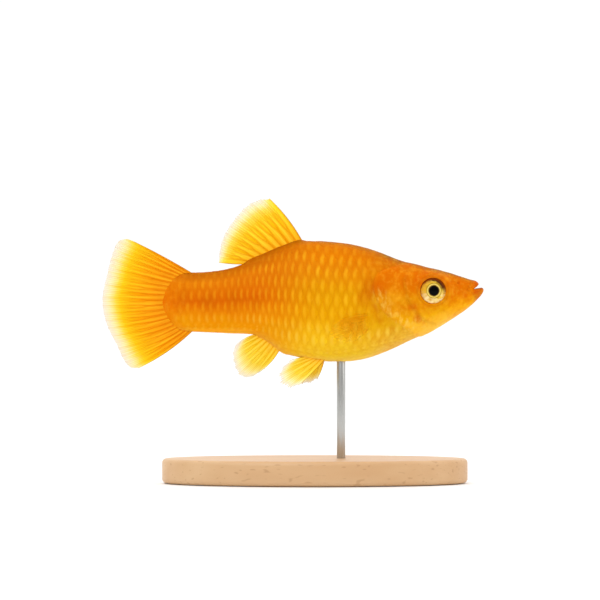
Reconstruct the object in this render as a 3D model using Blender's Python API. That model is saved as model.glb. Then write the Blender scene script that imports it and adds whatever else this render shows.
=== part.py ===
"""A saffron molly, adult female, as a still life-size model held over an oval base by one rod.

The fish looks along +X with its back up (+Z). Lengths below are in millimetres: s is the distance
behind the tip of the snout, z the height above the lowest point of the belly, and y the distance
from the middle plane, positive on the fish's left.
"""

import math

import bmesh
import bpy
import numpy as np
from mathutils import Matrix

MM = 0.001
TOTAL_LENGTH = 70.0
SNOUT_X = TOTAL_LENGTH / 2
BELLY_Z = 22.0
GAP = 0.3

# Outline of the body from the side: (s, z) along the back and along the belly.
BACK_LINE = [
    (3.3, 15.5), (6.6, 16.6), (11.0, 17.7), (15.4, 19.0), (19.8, 20.7), (24.2, 21.9), (28.6, 22.4),
    (33.0, 22.5), (36.5, 21.5), (41.5, 19.4), (46.2, 17.6), (50.6, 16.85), (54.5, 16.7),
]
BELLY_LINE = [
    (3.3, 9.7), (6.6, 7.5), (9.9, 5.5), (13.2, 4.0), (17.6, 1.95), (22.0, 0.45), (26.4, 0.0),
    (30.1, 0.1), (33.7, 0.7), (36.6, 1.65), (38.8, 3.3), (41.2, 4.75), (47.3, 5.2), (54.5, 5.5),
]
# Half of the width, and the height at which the body is widest.
HALF_WIDTH = [
    (3.3, 2.4), (6.0, 3.35), (9.1, 4.1), (13.0, 4.75), (18.0, 5.4), (24.0, 5.75), (30.0, 5.5),
    (36.0, 4.5), (42.0, 3.3), (48.0, 2.4), (53.0, 1.6), (56.5, 0.95), (59.0, 0.5),
]
WIDEST_LEVEL = [
    (3.3, 13.3), (9.0, 12.5), (15.0, 11.6), (22.0, 10.6), (28.0, 10.2), (36.0, 11.2), (44.0, 11.5),
    (59.0, 11.1),
]
# Fullness of the section above and below that level: 2 is an ellipse, more is boxier.
FULLNESS_ABOVE = [(3.3, 2.3), (9.0, 2.7), (16.0, 2.25), (26.0, 1.95), (45.0, 2.0), (59.0, 2.2)]
FULLNESS_BELOW = [(3.3, 2.0), (12.0, 1.9), (24.0, 2.15), (34.0, 2.0), (59.0, 2.2)]

FACE_S = 3.3
TAIL_ROUND_S = 54.5
TAIL_END_S = 59.0
RINGS = 42
SIDES = 28

NECK_AT = (16.0, 11.8)
NECK_LEAN_DEG = 12.0
TAIL_CUT_S = 44.6

# Gill cover: where its front edge and its free rear edge run, as (z, s), and its height.
GILL_FRONT = [(6.0, 10.9), (7.2, 11.2), (8.4, 12.0), (9.9, 13.1), (11.8, 14.0), (14.4, 14.7), (16.0, 16.2)]
GILL_REAR = [(6.0, 13.0), (7.7, 16.0), (9.7, 18.4), (11.8, 19.6), (14.1, 20.1), (15.2, 19.7), (16.0, 18.4)]
GILL_LOW, GILL_HIGH = 6.0, 16.0
GILL_THICK = 0.5
GILL_STEPS = 8

EYE_AT = (9.5, 13.2)
EYE_RADIUS = 2.5
EYE_DEPTH_RADIUS = 1.6
EYE_STANDS_OUT = 0.75
EYE_TURN_DEG = 7.0

MOUTH_LIP_ROUND = 0.85
UPPER_LIP_TIP, LOWER_LIP_TIP = 0.95, 0.0

TAIL_MIDDLE_Z = 11.1

ROD_RADIUS = 0.8
ROD_S = 26.2
ROD_IN_BODY = 2.2
ROD_IN_BASE = 2.6
BASE_LENGTH, BASE_WIDTH, BASE_THICK = 56.0, 27.0, 4.5
BASE_MIDDLE_X = 4.0
BASE_BEVEL = 0.8

SAFFRON = (0.86, 0.30, 0.02, 1)
GOLD = (0.95, 0.52, 0.05, 1)
FIN_YELLOW = (0.96, 0.66, 0.10, 1)
EYE_BLACK = (0.02, 0.02, 0.02, 1)
BEECH = (0.62, 0.42, 0.24, 1)
STEEL = (0.6, 0.6, 0.6, 1)


def smooth(stations):
    """A curve through (position, value) stations that never overshoots them."""
    x, v = np.array(stations, float).T
    step, slope = np.diff(x), np.diff(v) / np.diff(x)
    tangent = np.concatenate([[slope[0]], (slope[:-1] + slope[1:]) / 2, [slope[-1]]])
    turns = slope[:-1] * slope[1:] <= 0
    tangent[1:-1][turns] = 0
    limit = 3 * np.minimum(np.abs(slope[:-1]), np.abs(slope[1:]))
    tangent[1:-1] = np.clip(tangent[1:-1], -limit, limit)

    def value(at):
        i = int(np.clip(np.searchsorted(x, at) - 1, 0, len(step) - 1))
        t = float(np.clip((at - x[i]) / step[i], 0, 1))
        rise = v[i] * (1 + 2 * t) * (1 - t) ** 2 + v[i + 1] * t * t * (3 - 2 * t)
        return rise + step[i] * (tangent[i] * t * (1 - t) ** 2 - tangent[i + 1] * t * t * (1 - t))

    return value


back_line, belly_line = smooth(BACK_LINE), smooth(BELLY_LINE)
half_width, widest_level = smooth(HALF_WIDTH), smooth(WIDEST_LEVEL)
fullness_above, fullness_below = smooth(FULLNESS_ABOVE), smooth(FULLNESS_BELOW)
gill_front, gill_rear = smooth(GILL_FRONT), smooth(GILL_REAR)


def nose_round(distance, radius):
    """How much of its full size a rounded end has at a distance from its tip."""
    return math.sqrt(max(0.0, 1 - (1 - min(distance / radius, 1)) ** 2))


def extent(s):
    """(highest, lowest) z of the body at s. Behind TAIL_ROUND_S it closes in a half ellipse."""
    if s <= TAIL_ROUND_S:
        return back_line(s), belly_line(s)
    closing = nose_round(TAIL_END_S - s, TAIL_END_S - TAIL_ROUND_S)
    top, bottom = back_line(TAIL_ROUND_S), belly_line(TAIL_ROUND_S)
    middle = TAIL_MIDDLE_Z
    return middle + (top - middle) * closing, middle - (middle - bottom) * closing


def side_y(s, z):
    """Half of the body's width at s and height z."""
    top, bottom = extent(s)
    level = widest_level(s)
    reach, full = (top - level, fullness_above(s)) if z > level else (level - bottom, fullness_below(s))
    share = min(abs(z - level) / max(reach, 1e-6), 1)
    return half_width(s) * (1 - share**full) ** (1 / full)


def under_z(s, y):
    """Height of the body's underside at s and distance y from the middle plane."""
    level, full = widest_level(s), fullness_below(s)
    share = min(abs(y) / half_width(s), 1)
    return level - (level - extent(s)[1]) * (1 - share**full) ** (1 / full)


def place(s, y, z):
    """A point of the fish in the part's own frame, in metres."""
    return ((SNOUT_X - s) * MM, y * MM, (BELLY_Z + z) * MM)


def section(s, top, bottom, level, half, above, below, sides=SIDES):
    """One ring round the body: a superellipse with its own fullness above and below its level."""
    ring = []
    for k in range(sides):
        angle = 2 * math.pi * (k + 0.5) / sides
        c, up = math.cos(angle), math.sin(angle)
        full, reach = (above, top - level) if up > 0 else (below, level - bottom)
        y = half * math.copysign(abs(c) ** (2 / full), c)
        z = level + reach * math.copysign(abs(up) ** (2 / full), up)
        ring.append([s, y, z])
    return ring


def material(name, color, roughness, metallic=0.0):
    made = bpy.data.materials.new(name)
    made.use_nodes = True
    shader = made.node_tree.nodes["Principled BSDF"]
    shader.inputs["Base Color"].default_value = color
    shader.inputs["Roughness"].default_value = roughness
    shader.inputs["Metallic"].default_value = metallic
    return made


def add_object(name, bm, look):
    """Closes a bmesh into a smooth-shaded object of one material."""
    bmesh.ops.recalc_face_normals(bm, faces=bm.faces)
    mesh = bpy.data.meshes.new(name)
    bm.to_mesh(mesh)
    bm.free()
    mesh.materials.append(look)
    mesh.shade_smooth()
    mesh.set_sharp_from_angle(angle=math.radians(40))
    made = bpy.data.objects.new(name, mesh)
    bpy.context.scene.collection.objects.link(made)
    return made


def lofted(rings):
    """A bmesh with a skin over rings of (s, y, z) points and a flat cap on each end."""
    bm = bmesh.new()
    loops = [[bm.verts.new(place(*point)) for point in ring] for ring in rings]
    for front, rear in zip(loops, loops[1:]):
        for k in range(len(front)):
            after = (k + 1) % len(front)
            bm.faces.new((front[k], front[after], rear[after], rear[k]))
    bm.faces.new(loops[0][::-1])
    bm.faces.new(loops[-1])
    return bm


def two_sided(outer, inner):
    """A bmesh plate between two equal grids of (s, y, z) points, closed round its rim."""
    bm = bmesh.new()
    rows, columns = len(outer), len(outer[0])
    a = [[bm.verts.new(place(*point)) for point in row] for row in outer]
    b = [[bm.verts.new(place(*point)) for point in row] for row in inner]
    for i in range(rows - 1):
        for j in range(columns - 1):
            bm.faces.new((a[i][j], a[i][j + 1], a[i + 1][j + 1], a[i + 1][j]))
            bm.faces.new((b[i][j], b[i + 1][j], b[i + 1][j + 1], b[i][j + 1]))
    rim = [(0, j) for j in range(columns)]
    rim += [(i, columns - 1) for i in range(1, rows)]
    rim += [(rows - 1, j) for j in range(columns - 2, -1, -1)]
    rim += [(i, 0) for i in range(rows - 2, 0, -1)]
    for (i, j), (m, n) in zip(rim, rim[1:] + rim[:1]):
        bm.faces.new((a[i][j], b[i][j], b[m][n], a[m][n]))
    return bm


def body_rings():
    """Rings from the face to the end of the tail, closer together where the tail rounds off."""
    last = TAIL_END_S - 0.06
    straight = np.linspace(FACE_S, TAIL_ROUND_S, RINGS - 8)
    turn = np.linspace(0, math.pi / 2, 9)[1:]
    rounding = TAIL_ROUND_S + (last - TAIL_ROUND_S) * np.sin(turn)
    rings = []
    for s in np.concatenate([straight, rounding]):
        top, bottom = extent(s)
        shape = (widest_level(s), half_width(s), fullness_above(s), fullness_below(s))
        rings.append(section(s, top, bottom, *shape))
    return rings


def cut_away(bm, at, direction):
    """Removes what lies ahead of a plane through (s, z) whose normal is (s, z), and closes the cut."""
    geometry = bm.verts[:] + bm.edges[:] + bm.faces[:]
    normal = (-direction[0], 0, direction[1])
    point = place(at[0], 0, at[1])
    bmesh.ops.bisect_plane(bm, geom=geometry, plane_co=point, plane_no=normal, clear_outer=True)
    rim = [edge for edge in bm.edges if edge.is_boundary]
    bmesh.ops.holes_fill(bm, edges=rim, sides=0)


def neck_plane(offset):
    """(point, normal towards the tail) of the leaning plane between head and trunk."""
    lean = math.radians(NECK_LEAN_DEG)
    normal = (math.cos(lean), -math.sin(lean))
    return (NECK_AT[0] + normal[0] * offset, NECK_AT[1] + normal[1] * offset), normal


def cutter(name, bm):
    """A hidden helper for a Boolean."""
    made = add_object(name, bm, bpy.data.materials["cutter"])
    made.hide_render = True
    made.display_type = "WIRE"
    return made


def subtract(body, tool):
    cut = body.modifiers.new("cut_" + tool.name, "BOOLEAN")
    cut.operation = "DIFFERENCE"
    cut.solver = "EXACT"
    cut.object = tool


def eye_shape(sign, radius, depth_radius):
    """A bmesh ball flattened across the fish, turned a little forwards, at the place of an eye."""
    bm = bmesh.new()
    across, along = 20, 10
    bmesh.ops.create_uvsphere(bm, u_segments=across, v_segments=along, radius=MM)
    for vertex in bm.verts:
        x, y, z = vertex.co
        vertex.co = (x * radius, z * depth_radius, y * radius)
    turn = Matrix.Rotation(math.radians(-sign * EYE_TURN_DEG), 3, "Z")
    bmesh.ops.rotate(bm, verts=bm.verts, cent=(0, 0, 0), matrix=turn)
    bmesh.ops.translate(bm, verts=bm.verts, vec=place(EYE_AT[0], sign * eye_middle(), EYE_AT[1]))
    return bm


def eye_middle():
    """Distance of an eyeball's middle from the middle plane."""
    return side_y(*EYE_AT) + EYE_STANDS_OUT - EYE_DEPTH_RADIUS


def build_body():
    """Head, trunk and tail: one loft, parted by thin cuts, with sockets for the eyes and the rod."""
    half_gap = GAP / 2
    rings = body_rings()
    neck_front, backwards = neck_plane(-half_gap)
    neck_rear = neck_plane(half_gap)[0]
    forwards = (-backwards[0], -backwards[1])

    recesses = []
    for side, sign in (("left", 1), ("right", -1)):
        recess = gill_plate(sign, grow=GAP, outside=1.5, inside=GILL_THICK + GAP)
        recesses.append(cutter("gill_recess_" + side, recess))

    head = lofted(rings)
    cut_away(head, neck_front, backwards)
    head = add_object("head", head, bpy.data.materials["skin"])
    for side, sign in (("left", 1), ("right", -1)):
        socket = eye_shape(sign, EYE_RADIUS + GAP, EYE_DEPTH_RADIUS + GAP)
        subtract(head, cutter("socket_" + side, socket))
    for recess in recesses:
        subtract(head, recess)

    trunk = lofted(rings)
    cut_away(trunk, neck_rear, forwards)
    cut_away(trunk, (TAIL_CUT_S - half_gap, 0), (1, 0))
    trunk = add_object("trunk", trunk, bpy.data.materials["skin"])
    bore = rod_bmesh(ROD_RADIUS + GAP, BELLY_Z - 5, BELLY_Z + ROD_IN_BODY + GAP)
    subtract(trunk, cutter("rod_bore", bore))
    for recess in recesses:
        subtract(trunk, recess)

    tail = lofted(rings)
    cut_away(tail, (TAIL_CUT_S + half_gap, 0), (-1, 0))
    add_object("tail", tail, bpy.data.materials["skin"])


def jaw_rings(tip, top, bottom, level_share, half):
    """Rings of a jaw from its lip back to the face, rounded off at the lip."""
    rear = FACE_S - GAP
    rounding = tip + MOUTH_LIP_ROUND * (1 - np.cos(np.linspace(0.32, math.pi / 2, 5)))
    stations = np.concatenate([rounding, np.linspace(tip + MOUTH_LIP_ROUND, rear, 4)[1:]])
    rings = []
    for s in stations:
        close = nose_round(s - tip, MOUTH_LIP_ROUND)
        level = bottom(s) + (top(s) - bottom(s)) * level_share
        above, below = (top(s) - level) * close, (level - bottom(s)) * close
        rings.append(section(s, level + above, level - below, level, half(s) * close, 2.3, 2.3, sides=22))
    return rings


def build_jaws():
    """The lips, with the mouth a little open between them."""
    upper = jaw_rings(
        UPPER_LIP_TIP, smooth([(0.9, 14.75), (1.6, 15.0), (3.3, 15.5)]),
        smooth([(0.9, 14.2), (1.6, 13.95), (2.2, 13.65), (3.3, 13.5)]), 0.3,
        smooth([(0.9, 1.7), (2.0, 2.0), (3.3, 2.35)]),
    )
    lower = jaw_rings(
        LOWER_LIP_TIP, smooth([(0.0, 13.8), (1.2, 13.6), (2.2, 13.3), (3.3, 13.15)]),
        smooth([(0.0, 12.75), (0.7, 12.15), (2.2, 10.6), (3.3, 9.75)]), 0.78,
        smooth([(0.0, 1.55), (1.5, 1.9), (3.3, 2.35)]),
    )
    add_object("upper_jaw", lofted(upper), bpy.data.materials["skin"])
    add_object("lower_jaw", lofted(lower), bpy.data.materials["skin"])


def gill_plate(sign, grow, outside, inside):
    """A bmesh plate along the body's side, outside to inside its surface, grown at its edges."""
    outer, inner = [], []
    for z in np.linspace(GILL_LOW - grow, GILL_HIGH + grow, GILL_STEPS + 1):
        stations = np.linspace(gill_front(z) - grow, gill_rear(z) + grow, GILL_STEPS + 1)
        outer.append([(s, sign * (side_y(s, z) + outside), z) for s in stations])
        inner.append([(s, sign * (side_y(s, z) - inside), z) for s in stations])
    return two_sided(outer, inner)


def build_gill_covers():
    """Plates over the gills, flush with the cheek and free along their rear edge."""
    for side, sign in (("left", 1), ("right", -1)):
        plate = gill_plate(sign, grow=0, outside=0.05, inside=GILL_THICK)
        add_object("gill_cover_" + side, plate, bpy.data.materials["gold_skin"])


def build_eyes():
    """Flattened balls in the sockets, standing a little out of the head."""
    for side, sign in (("left", 1), ("right", -1)):
        ball = eye_shape(sign, EYE_RADIUS, EYE_DEPTH_RADIUS)
        add_object("eye_" + side, ball, bpy.data.materials["eye"])


def along(path, share):
    """The point at a share of the length of a smooth line through (s, z) points."""
    points = np.array(path, float)
    length = np.concatenate([[0], np.cumsum(np.linalg.norm(np.diff(points, axis=0), axis=1))])
    at = share * length[-1]
    return smooth(list(zip(length, points[:, 0])))(at), smooth(list(zip(length, points[:, 1])))(at)


def fin(name, rays, root, margin, bows, middle_y, thick, rows=7):
    """A fin: a fan of rays from root(t) to the margin, t from 0 at its first ray to 1 at its last.

    bows are how far the first and last rays bend off a straight line, middle_y(s, z) is the
    sheet's own place across the fish, and thick its thickness at the root and at the margin.
    Every second column is a ray, which stands proud of the web and a little past its edge.
    """
    left, right = [], []
    for i in range(rows + 1):
        r = i / rows
        left_row, right_row = [], []
        for j in range(2 * rays - 1):
            t = j / (2 * rays - 2)
            on_ray = j % 2 == 0
            foot, tip = np.array(root(t)), np.array(along(margin, t))
            reach = tip - foot
            reach_r = r * (1.0 if on_ray else 0.985)
            bow = bows[0] + (bows[1] - bows[0]) * t
            normal = np.array((reach[1], -reach[0])) / np.linalg.norm(reach)
            s, z = foot + reach * reach_r + normal * bow * 4 * reach_r * (1 - reach_r)
            half = (thick[0] + (thick[1] - thick[0]) * math.sqrt(r)) / 2
            half *= 1.0 if on_ray else 0.85
            y = middle_y(s, z)
            left_row.append((s, y + half, z))
            right_row.append((s, y - half, z))
        left.append(left_row)
        right.append(right_row)
    return add_object(name, two_sided(left, right), bpy.data.materials["fin"])


def build_middle_fins():
    """Dorsal, anal and tail fins, upright in the middle plane."""

    def dorsal_root(t):
        s = 33.2 + 10.4 * t
        return s, back_line(s) + GAP

    def anal_root(t):
        s = 37.5 + 4.1 * t
        return s, belly_line(s) - GAP

    def tail_root(t):
        angle = math.radians(100 - 200 * t)
        long_axis = TAIL_END_S - TAIL_ROUND_S + GAP + 0.05
        top, bottom = extent(TAIL_ROUND_S)
        high_axis = (top - bottom) / 2 + GAP + 0.05
        return TAIL_ROUND_S + long_axis * math.cos(angle), TAIL_MIDDLE_Z + high_axis * math.sin(angle)

    def in_middle(s, z):
        return 0.0

    dorsal_margin = [
        (39.3, 30.1), (41.6, 29.8), (43.6, 28.7), (46.0, 26.0), (47.8, 23.0), (48.5, 20.2), (48.6, 18.35),
    ]
    anal_margin = [
        (41.3, -1.8), (43.2, -2.75), (44.7, -2.5), (45.7, -0.8), (46.1, 1.5), (45.6, 3.1), (44.7, 3.9),
    ]
    tail_margin = [
        (65.0, 22.5), (66.6, 22.3), (67.6, 20.8), (69.0, 16.6), (69.95, 11.5), (69.2, 7.2), (67.2, 3.0),
        (65.6, 0.0), (64.6, -0.85), (63.3, -1.0),
    ]
    fin("dorsal_fin", 10, dorsal_root, dorsal_margin, (-0.42, 0.12), in_middle, (1.1, 0.5))
    fin("anal_fin", 8, anal_root, anal_margin, (0.4, -0.2), in_middle, (1.0, 0.5), rows=6)
    fin("caudal_fin", 16, tail_root, tail_margin, (0.0, 0.6), in_middle, (1.2, 0.5))


def build_pelvic_fins():
    """The belly fins, splayed outwards. The fish's left one is held further forward."""
    root_y, splay = 1.35, math.tan(math.radians(20))
    margins = {
        "right": [(34.3, -4.3), (35.4, -4.6), (36.8, -4.3), (37.7, -2.9), (37.4, -1.4), (35.8, 0.3)],
        "left": [(31.0, -3.3), (32.2, -3.7), (33.8, -4.1), (35.0, -3.9), (35.8, -2.4), (35.1, -0.6)],
    }
    for side, sign in (("left", 1), ("right", -1)):

        def pelvic_root(t):
            s = 29.2 + 3.4 * t
            return s, under_z(s, root_y) - 0.42

        def splayed(s, z, sign=sign):
            return sign * (root_y + (0.3 - z) * splay)

        fin("pelvic_fin_" + side, 6, pelvic_root, margins[side], (0.15, -0.15), splayed, (0.85, 0.5), rows=6)


def build_pectoral_fins():
    """The breast fins, just behind the gill covers, laid back along the flanks and a little out."""
    margin = [(27.2, 7.8), (28.4, 6.9), (28.8, 5.8), (28.3, 4.8), (26.4, 3.9), (24.2, 4.1)]
    out = math.tan(math.radians(15))
    for side, sign in (("left", 1), ("right", -1)):

        def pectoral_root(t):
            return 20.5 + 0.1 * t, 9.0 - 2.6 * t

        def beside(s, z, sign=sign):
            foot = side_y(20.5, 7.7) + 0.75
            return sign * (foot + (s - 20.5) * out - 0.02 * (s - 20.5) ** 2)

        fin("pectoral_fin_" + side, 8, pectoral_root, margin, (-0.3, 0.2), beside, (0.7, 0.5), rows=6)


def rod_bmesh(radius, low_z, high_z):
    """An upright round bar at the rod's place, between two heights over the floor."""
    bm = bmesh.new()
    height = (high_z - low_z) * MM
    size = {"radius1": radius * MM, "radius2": radius * MM, "depth": height}
    bmesh.ops.create_cone(bm, cap_ends=True, segments=20, **size)
    middle = ((SNOUT_X - ROD_S) * MM, 0, (low_z + high_z) / 2 * MM)
    bmesh.ops.translate(bm, verts=bm.verts, vec=middle)
    return bm


def build_stand():
    """A plain oval base and one steel rod up into the belly."""
    bm = bmesh.new()
    bmesh.ops.create_cone(bm, cap_ends=True, segments=56, radius1=MM, radius2=MM, depth=MM)
    bmesh.ops.scale(bm, verts=bm.verts, vec=(BASE_LENGTH / 2, BASE_WIDTH / 2, BASE_THICK))
    bmesh.ops.translate(bm, verts=bm.verts, vec=(BASE_MIDDLE_X * MM, 0, BASE_THICK / 2 * MM))
    top_rim = [e for e in bm.edges if all(v.co.z > BASE_THICK * MM * 0.9 for v in e.verts)]
    bmesh.ops.bevel(bm, geom=top_rim, offset=BASE_BEVEL * MM, segments=3, profile=0.5, affect="EDGES")
    base = add_object("stand_base", bm, bpy.data.materials["beech"])
    hole = rod_bmesh(ROD_RADIUS + GAP, BASE_THICK - ROD_IN_BASE - GAP, BASE_THICK + 5)
    subtract(base, cutter("base_bore", hole))
    rod = rod_bmesh(ROD_RADIUS, BASE_THICK - ROD_IN_BASE, BELLY_Z + ROD_IN_BODY)
    add_object("stand_rod", rod, bpy.data.materials["steel"])


def main():
    for old in list(bpy.data.objects):
        bpy.data.objects.remove(old)
    material("skin", SAFFRON, 0.35)
    material("gold_skin", GOLD, 0.3)
    material("fin", FIN_YELLOW, 0.45)
    material("eye", EYE_BLACK, 0.08)
    material("beech", BEECH, 0.5)
    material("steel", STEEL, 0.3, metallic=1.0)
    material("cutter", STEEL, 0.5)
    build_body()
    build_jaws()
    build_gill_covers()
    build_eyes()
    build_middle_fins()
    build_pelvic_fins()
    build_pectoral_fins()
    build_stand()


main()
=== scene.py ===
# %% [markdown]
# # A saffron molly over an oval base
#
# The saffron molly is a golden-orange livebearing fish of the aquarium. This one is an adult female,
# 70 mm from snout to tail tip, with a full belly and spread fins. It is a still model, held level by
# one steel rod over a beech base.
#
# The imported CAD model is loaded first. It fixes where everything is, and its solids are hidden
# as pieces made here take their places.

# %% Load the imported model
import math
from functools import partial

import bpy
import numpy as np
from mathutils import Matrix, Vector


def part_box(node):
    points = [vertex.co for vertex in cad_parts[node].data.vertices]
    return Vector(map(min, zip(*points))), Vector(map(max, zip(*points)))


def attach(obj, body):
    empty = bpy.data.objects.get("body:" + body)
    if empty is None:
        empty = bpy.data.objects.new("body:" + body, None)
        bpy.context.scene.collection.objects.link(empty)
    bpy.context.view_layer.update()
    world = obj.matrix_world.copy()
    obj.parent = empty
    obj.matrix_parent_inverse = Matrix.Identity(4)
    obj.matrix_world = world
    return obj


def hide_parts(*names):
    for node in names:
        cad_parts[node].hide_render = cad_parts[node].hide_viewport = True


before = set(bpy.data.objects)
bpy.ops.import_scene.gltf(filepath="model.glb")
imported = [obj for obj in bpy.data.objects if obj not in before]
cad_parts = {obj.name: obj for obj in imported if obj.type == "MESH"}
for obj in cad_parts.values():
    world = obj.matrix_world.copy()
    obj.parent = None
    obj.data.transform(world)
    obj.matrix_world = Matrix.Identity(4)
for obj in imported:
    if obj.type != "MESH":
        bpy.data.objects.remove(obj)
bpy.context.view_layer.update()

# %% [markdown]
# ## Working by hand in a script
#
# Operators act on whatever is selected, and loading leaves the CAD solids selected. So one small
# helper selects a single piece before each operator. Others read and write a mesh's points as an
# array, because a body's curves are easier to state as formulas than to push vertex by vertex.
#
# Lengths are in millimetres, as a fish is measured: `s` runs back from the tip of the snout, `y`
# out from the middle plane (left is positive) and `z` up from the lowest point of the belly.

MM = 0.001
SNOUT_X = 35.0
BELLY_Z = 22.0


def only(piece):
    """Selects this piece and nothing else, and makes it active."""
    bpy.ops.object.select_all(action="DESELECT")
    piece.select_set(True)
    bpy.context.view_layer.objects.active = piece


def new_piece(name, primitive, **settings):
    """Adds a primitive while nothing else is selected, and names it."""
    bpy.ops.object.select_all(action="DESELECT")
    primitive(**settings)
    piece = bpy.context.object
    piece.name = name
    piece.data.name = name
    return piece


def points_of(piece):
    """A mesh's points as an array, in metres."""
    flat = np.empty(3 * len(piece.data.vertices), np.float32)
    piece.data.vertices.foreach_get("co", flat)
    return flat.reshape(-1, 3).astype(float)


def move_points(piece, places):
    """Sets a mesh's points, in metres."""
    piece.data.vertices.foreach_set("co", np.asarray(places, np.float32).ravel())
    piece.data.update()


def in_frame(s, y, z):
    """Fish millimetres to metres in the model's frame."""
    return np.stack([(SNOUT_X - s) * MM, y * MM, (BELLY_Z + z) * MM], axis=-1)


def note(piece, name, values):
    """Writes one number on each point of a piece, for its material to read."""
    layer = piece.data.attributes.new(name, "FLOAT", "POINT")
    layer.data.foreach_set("value", np.asarray(values, np.float32).ravel())


def lay_map(piece, name, places):
    """Gives a piece a UV map from one place for each of its points."""
    layer = piece.data.uv_layers.new(name=name)
    corners = np.empty(len(piece.data.loops), np.int32)
    piece.data.loops.foreach_get("vertex_index", corners)
    layer.data.foreach_set("uv", np.asarray(places, np.float32)[corners].ravel())


def apply_all(piece):
    """Applies every modifier of a piece, first to last."""
    only(piece)
    for modifier in list(piece.modifiers):
        bpy.ops.object.modifier_apply(modifier=modifier.name)


def close_up(piece, gap=1e-6):
    """Merges points that meet and turns all faces outwards."""
    only(piece)
    bpy.ops.object.mode_set(mode="EDIT")
    bpy.ops.mesh.select_all(action="SELECT")
    bpy.ops.mesh.remove_doubles(threshold=gap)
    bpy.ops.mesh.normals_make_consistent(inside=False)
    bpy.ops.object.mode_set(mode="OBJECT")


def fill_holes(piece):
    """Closes every open edge loop with a face."""
    only(piece)
    bpy.ops.object.mode_set(mode="EDIT")
    bpy.ops.mesh.select_mode(type="EDGE")
    bpy.ops.mesh.select_all(action="DESELECT")
    bpy.ops.mesh.select_non_manifold(extend=False)
    bpy.ops.mesh.fill_holes(sides=0)
    bpy.ops.mesh.select_mode(type="VERT")
    bpy.ops.object.mode_set(mode="OBJECT")


def hand_over(piece, material, slot, *nodes):
    """Dresses a finished piece, parents it to the root, and hides the CAD nodes it takes the place of."""
    only(piece)
    bpy.ops.object.shade_smooth()
    piece.data.materials.clear()
    piece.data.materials.append(material)
    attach(piece, "root")
    if nodes:
        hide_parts(*nodes)
    print(piece.name, len(piece.data.polygons), "faces")


# %% [markdown]
# ## The camera
#
# The photograph was taken square to the fish's right side with a long lens, on white. The camera
# goes in first, so that every later piece can be looked at from where the photograph was taken.
# At 61 cm a 200 mm lens sees 110 mm across, as the photograph does.

# %% Camera
LENS_MM = 200.0
SENSOR_MM = 36.0
SEEN_WIDTH = 109.95
# Millimetres along the fish from the frame's middle, and up from the floor.
CAMERA_AT = (1.28, 33.5)
NEAREST_M = 0.01
FARTHEST_M = 20

bpy.ops.object.select_all(action="DESELECT")
distance = SEEN_WIDTH / SENSOR_MM * LENS_MM
bpy.ops.object.camera_add(
    location=(CAMERA_AT[0] * MM, -distance * MM, CAMERA_AT[1] * MM), rotation=(math.pi / 2, 0, 0)
)
camera = bpy.context.object
camera.name = "camera"
camera.data.lens = LENS_MM
camera.data.sensor_width = SENSOR_MM
camera.data.clip_start = NEAREST_M
camera.data.clip_end = FARTHEST_M
bpy.context.scene.camera = camera
print("camera", round(distance), "mm from the fish")

# %% [markdown]
# ## Materials: one way to write nodes
#
# Each material names what the real one is. Colours are written as the eye reads them, in sRGB hex,
# and one function turns them to the linear values that shaders use. One more function adds a node:
# it is told the kind, what goes into the open sockets from the top down, and the settings.

# %% Node helpers
# The setting of a share that eases in and out.
SOFT = {"interpolation_type": "SMOOTHSTEP"}


def linear(code):
    """An sRGB hex colour as linear red, green, blue and alpha."""
    channels = [int(code[i : i + 2], 16) / 255 for i in (1, 3, 5)]
    straight = [c / 12.92 if c <= 0.04045 else ((c + 0.055) / 1.055) ** 2.4 for c in channels]
    return (*straight, 1.0)


def add_node(tree, kind, *inputs, out=0, stops=(), **settings):
    """Adds a node and returns one of its outputs.

    Each input is a number, a hex colour, another node's output, or None to leave it alone.
    """
    node = tree.nodes.new("ShaderNode" + kind)
    for name, value in settings.items():
        setattr(node, name, value)
    for i, (position, code) in enumerate(stops):
        ramp = node.color_ramp.elements
        stop = ramp[i] if i < len(ramp) else ramp.new(position)
        stop.position = position
        stop.color = linear(code)
    for socket, value in zip([socket for socket in node.inputs if socket.enabled], inputs):
        if isinstance(value, bpy.types.NodeSocket):
            tree.links.new(value, socket)
        elif value is not None:
            socket.default_value = linear(value) if isinstance(value, str) else value
    if isinstance(out, str):
        return node.outputs[out]
    return [socket for socket in node.outputs if socket.enabled][out]


def start_material(name, **constants):
    """A material, its way to add nodes, and its shader with constants set by socket name."""
    material = bpy.data.materials.new(name)
    material.use_nodes = True
    shader = material.node_tree.nodes["Principled BSDF"]
    for socket, value in constants.items():
        shader.inputs[socket.replace("_", " ")].default_value = value
    return material, partial(add_node, material.node_tree), shader


def drive(shader, socket, output):
    """Links a node's output to one of the shader's sockets."""
    shader.id_data.links.new(output, shader.inputs[socket])


def cloud_of(add, size_mm, detail=2.0, stretch=(1, 1, 1)):
    """Cloudy unevenness of a real size in the piece's own place, about -1 to 1."""
    place = add("Mapping", add("TexCoord", out="Object"), None, None, stretch)
    noise = add("TexNoise", place, 1000 / size_mm, detail)
    return add("Math", noise, 4.0, -2.0, operation="MULTIPLY_ADD")


# %% [markdown]
# ## Studio light
#
# A fish is photographed on white in a tent: the ground behind and below it glows, a broad soft
# light hangs overhead, and the tent is darker on the camera's side, so that the wet skin doesn't
# mirror white there and its colours stay deep. The world's background makes that tent, from the
# direction of each ray alone. Two soft boxes beside the camera add a little shape.

# %% White tent
TENT_WHITE = 1.03
TENT_CAMERA_SIDE = 0.5
TENT_ROOF_EXTRA = 0.7

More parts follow.
